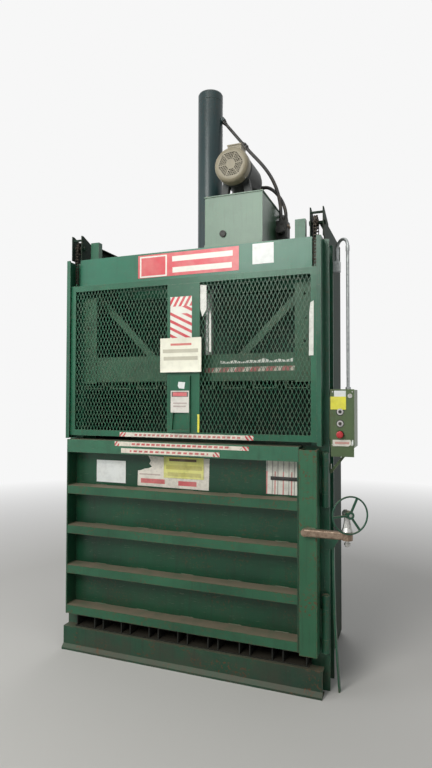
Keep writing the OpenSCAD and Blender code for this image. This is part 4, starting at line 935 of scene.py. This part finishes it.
LID_BOLT = 0.008
LID_EDGE = 0.016
lid_low, lid_high = span("tank_lid")
cap_low, cap_high = span("fan_cover")
jb_low, jb_high = span("junction_box")
rim_z = span("oil_tank")[1].z + 0.006
lid_left, lid_right = lid_low.x + LID_EDGE, lid_high.x - LID_EDGE
lid_front, lid_rear = lid_low.y + LID_EDGE, lid_high.y - LID_EDGE
bm = bmesh.new()
for x in (lid_left, (lid_low.x + lid_high.x) / 2, lid_right):
    for y in (lid_front, lid_rear):
        bolt_into(bm, (x, y, rim_z), (0, 0, 1), LID_BOLT)
for y in (lid_low.y + 0.15, lid_low.y + 0.28):
    for x in (lid_left, lid_right):
        bolt_into(bm, (x, y, rim_z), (0, 0, 1), LID_BOLT)
for y in (valve_low.y + 0.070, valve_low.y + 0.110):
    bolt_into(bm, (valve_high.x, y, 2.680), (1, 0, 0), 0.010)
piece("power_unit_bolts", bm, [worn_brown], "frame")

motor_mid = Vector(((cap_low.x + cap_high.x) / 2, 0, (cap_low.z + cap_high.z) / 2))
motor_r = (cap_high.x - cap_low.x) / 2
bm = bmesh.new()
for angle in (45, 135, 225, 315):
    out = Vector((math.cos(math.radians(angle)), 0, math.sin(math.radians(angle))))
    screw_into(bm, motor_mid + out * (motor_r - 0.0004) + Vector((0, cap_low.y + 0.050, 0)), out, 0.005)
for x in (jb_low.x + 0.010, jb_high.x - 0.010):
    for y in (jb_low.y + 0.010, jb_high.y - 0.010):
        screw_into(bm, (x, y, jb_high.z), (0, 0, 1), 0.004)
for x in (0.868, 0.972):
    for z in (1.334, 1.618):
        screw_into(bm, (x, cover_y, z), (0, -1, 0), 0.0042)
piece("cover_screws", bm, [bright_steel], "frame")

bm = bmesh.new()
for side in (-1, 1):
    for y in (-0.320, -0.250):
        bolt_into(bm, (side * 0.807, y, 2.405), (side, 0, 0), 0.012)
piece("bracket_bolts", bm, [worn_brown], "frame")

# %% [markdown]
# ## Plates behind the buttons
# Each push button has a dark eight-sided plate behind it. A circle is extruded and
# its outer row is pushed onto an octagon, so the round hole needs no boolean.

# %% Dark plates behind the push buttons
HOLE_R = 0.0173
PLATE_R = 0.0205
start_low, start_high = span("start_button")
button_x = (start_low.x + start_high.x) / 2
bm = bmesh.new()
for node in ("start_button", "selector_knob", "stop_button"):
    low, high = span(node)
    z = (low.z + high.z) / 2
    at = Matrix.Translation((button_x, cover_y, z)) @ Matrix.Rotation(math.radians(90), 4, "X")
    ring = bmesh.ops.create_circle(bm, segments=32, radius=HOLE_R, matrix=at)
    rim = bmesh.ops.extrude_edge_only(bm, edges=list({e for v in ring["verts"] for e in v.link_edges}))
    outer = [v for v in rim["geom"] if isinstance(v, bmesh.types.BMVert)]
    for v in outer:
        angle = math.atan2(v.co.z - z, v.co.x - button_x)
        reach = PLATE_R / math.cos((angle + math.pi / 8) % (math.pi / 4) - math.pi / 8)
        v.co.x = button_x + reach * math.cos(angle)
        v.co.z = z + reach * math.sin(angle)
bmesh.ops.solidify(bm, geom=bm.faces[:], thickness=0.0016)
low_y = max(v.co.y for v in bm.verts)
bmesh.ops.translate(bm, verts=bm.verts[:], vec=(0, cover_y - low_y, 0))
bmesh.ops.recalc_face_normals(bm, faces=bm.faces[:])
piece("button_plates", bm, [black_plastic], "frame")

# %% [markdown]
# ## Welds
# A weld is a low ridge with the ripples that the arc leaves. A round bar would look
# like a pipe, so a grid is rolled into a half round whose radius goes up and down.

# %% Welds
RIPPLE = 0.0035


def weld_into(bm, start, end, up, radius, seed):
    """Adds a weld along a line; up is the direction in which it stands out."""
    chance = random.Random(seed)
    start, end, up = Vector(start), Vector(end), Vector(up).normalized()
    along = end - start
    steps = max(6, round(along.length / RIPPLE))
    across = along.normalized().cross(up)
    bead = bmesh.new()
    bmesh.ops.create_grid(bead, x_segments=steps, y_segments=6, size=0.5)
    drift = [chance.uniform(0.88, 1.12) for _ in range(steps + 1)]
    for v in bead.verts:
        share = v.co.x + 0.5
        step = min(steps, max(0, round(share * steps)))
        angle = math.radians(-100 + 200 * (v.co.y + 0.5))
        taper = min(1, 0.55 + 12 * min(share, 1 - share))
        swell = radius * drift[step] * (1 + 0.16 * (step % 2)) * taper
        v.co = (start + along * share + across * (swell * math.sin(angle))
                + up * (swell * 0.75 * math.cos(angle)))
    bmesh.ops.holes_fill(bead, edges=[e for e in bead.edges if e.is_boundary], sides=0)
    pour(bead, bm)


bar_low, bar_high = span("latch_bar")
lever_low, lever_high = span("latch_lever")
bm = bmesh.new()
lever_end = min(bar_high.x, lever_high.x) - 0.006
for z, out in ((lever_high.z, 1), (lever_low.z, -1)):
    weld_into(bm, (lever_low.x + 0.022, bar_low.y, z), (lever_end, bar_low.y, z), (0, -1, out), 0.004, seed=4)
piece("lever_welds", bm, [latch_green], "latch")

bm = bmesh.new()
for side in (-1, 1):
    x, y = side * 0.7565, header_y + 0.0275
    weld_into(bm, (x, y, header_low.z), (x, y, header_high.z), (side, -1, 0), 0.004, seed=7)
    x, y = side * 0.816, -0.3605
    for z in (0.55, 0.80, 1.05, 1.55, 1.80, 2.05):
        weld_into(bm, (x, y, z), (x, y, z + 0.06), (side, -1, 0), 0.003, seed=int(z * 20))
piece("post_welds", bm, [post_green], "frame")

bm = bmesh.new()
rib_low, rib_high = span("door_ribs")
for i in range(4):
    z = rib_low.z + i * 0.250 + 0.0525
    for x in (rib_low.x + 0.001, rib_high.x - 0.001):
        weld_into(bm, (x, rib_low.y + 0.004, z), (x, -0.372, z), (0, 0, 1), 0.003, seed=i)
    for x in (-0.60, -0.30, 0.0, 0.30, 0.58):
        weld_into(bm, (x - 0.04, -0.3685, z), (x + 0.04, -0.3685, z), (0, -1, 1), 0.003, seed=i + 9)
piece("rib_welds", bm, [rib_green], "door")

# %% [markdown]
# ## The view
# The photograph was taken standing up, a little to the right of the machine. The
# lens and the place were solved from its straight edges.

# %% Camera
eye = bpy.data.cameras.new("eye")
eye.lens = 25.33
eye.sensor_width = 36
eye.clip_start = 0.05
eye.clip_end = 100
camera = bpy.data.objects.new("camera", eye)
camera.location = (1.3171, -3.3502, 1.584)
TURN_LEFT, LOOK_UP, ROLL = math.radians(20.827), math.radians(1.475), math.radians(-0.116)
camera.matrix_world = (Matrix.Translation(camera.location) @ Matrix.Rotation(TURN_LEFT, 4, "Z")
                       @ Matrix.Rotation(math.radians(90) + LOOK_UP, 4, "X") @ Matrix.Rotation(-ROLL, 4, "Z"))
bpy.context.scene.collection.objects.link(camera)
bpy.context.scene.camera = camera

# %% [markdown]
# ## The room
# A pale floor and four large soft lamps: a key from the front, a weak fill from the
# left, one from above and one from behind. The background is white only where the
# camera, a mirror or glass looks straight at it, so it adds no light of its own.

# %% Floor, sky and lamps
BACKDROP = (0.93, 0.93, 0.93, 1)


def seen_directly(tree):
    """1 for rays from the camera, a mirror or glass, 0 for light on the machine."""
    ray = tree.nodes.new("ShaderNodeLightPath")
    total = ray.outputs["Is Camera Ray"]
    for word in ("Is Glossy Ray", "Is Transmission Ray"):
        either = tree.nodes.new("ShaderNodeMath")
        either.operation = "MAXIMUM"
        tree.links.new(total, either.inputs[0])
        tree.links.new(ray.outputs[word], either.inputs[1])
        total = either.outputs[0]
    return total


bm = bmesh.new()
bmesh.ops.create_grid(bm, x_segments=1, y_segments=1, size=30)
ground = bpy.data.meshes.new("ground")
bm.to_mesh(ground)
bm.free()
floor_finish = Finish("pale_floor", 0.8)
pale = floor_finish.done(colour(206, 204, 200))
far = floor_finish.add("ShaderNodeVectorMath", operation="LENGTH")
floor_finish.link(floor_finish.place, far.inputs[0])
distant = floor_finish.between(far.outputs["Value"], 2.2, 7.5)
seen_far = floor_finish.math("MULTIPLY", distant, seen_directly(floor_finish.tree))
glow = floor_finish.add("ShaderNodeEmission")
glow.inputs["Color"].default_value = BACKDROP
join = floor_finish.add("ShaderNodeMixShader")
floor_finish.link(seen_far, join.inputs["Fac"])
floor_finish.link(floor_finish.shader.outputs[0], join.inputs[1])
floor_finish.link(glow.outputs[0], join.inputs[2])
floor_finish.link(join.outputs[0], floor_finish.tree.nodes["Material Output"].inputs["Surface"])
ground.materials.append(pale)
ground_object = bpy.data.objects.new("ground", ground)
bpy.context.scene.collection.objects.link(ground_object)

world = bpy.data.worlds.new("studio")
world.use_nodes = True
bpy.context.scene.world = world
sky = world.node_tree
background = sky.nodes["Background"]
background.inputs["Color"].default_value = (0.62, 0.64, 0.66, 1)
background.inputs["Strength"].default_value = 0.36
white = sky.nodes.new("ShaderNodeBackground")
white.inputs["Color"].default_value = BACKDROP
blend = sky.nodes.new("ShaderNodeMixShader")
sky.links.new(seen_directly(sky), blend.inputs["Fac"])
sky.links.new(background.outputs[0], blend.inputs[1])
sky.links.new(white.outputs[0], blend.inputs[2])
sky.links.new(blend.outputs[0], sky.nodes["World Output"].inputs["Surface"])


def lamp(name, place, target, size, watts, tint=(1, 1, 1)):
    """A round soft lamp at a place, turned to a target."""
    light = bpy.data.lights.new(name, "AREA")
    light.shape = "DISK"
    light.size = size
    light.energy = watts
    light.color = tint
    holder = bpy.data.objects.new(name, light)
    holder.location = place
    holder.rotation_euler = (Vector(target) - Vector(place)).to_track_quat("-Z", "Y").to_euler()
    bpy.context.scene.collection.objects.link(holder)


lamp("key", (-0.9, -4.9, 4.3), (0, 0, 1.6), 2.6, 175, (1, 0.99, 0.96))
lamp("fill", (-4.4, -3.0, 3.0), (0, 0, 1.4), 3.5, 60, (0.96, 0.98, 1))
lamp("top", (0.6, -1.6, 5.6), (0, -0.2, 2.0), 2.4, 30, (1, 0.99, 0.96))
lamp("rim", (-1.0, 4.5, 4.6), (0, 0, 2.0), 3.0, 60)
bpy.context.scene.view_settings.view_transform = "Standard"
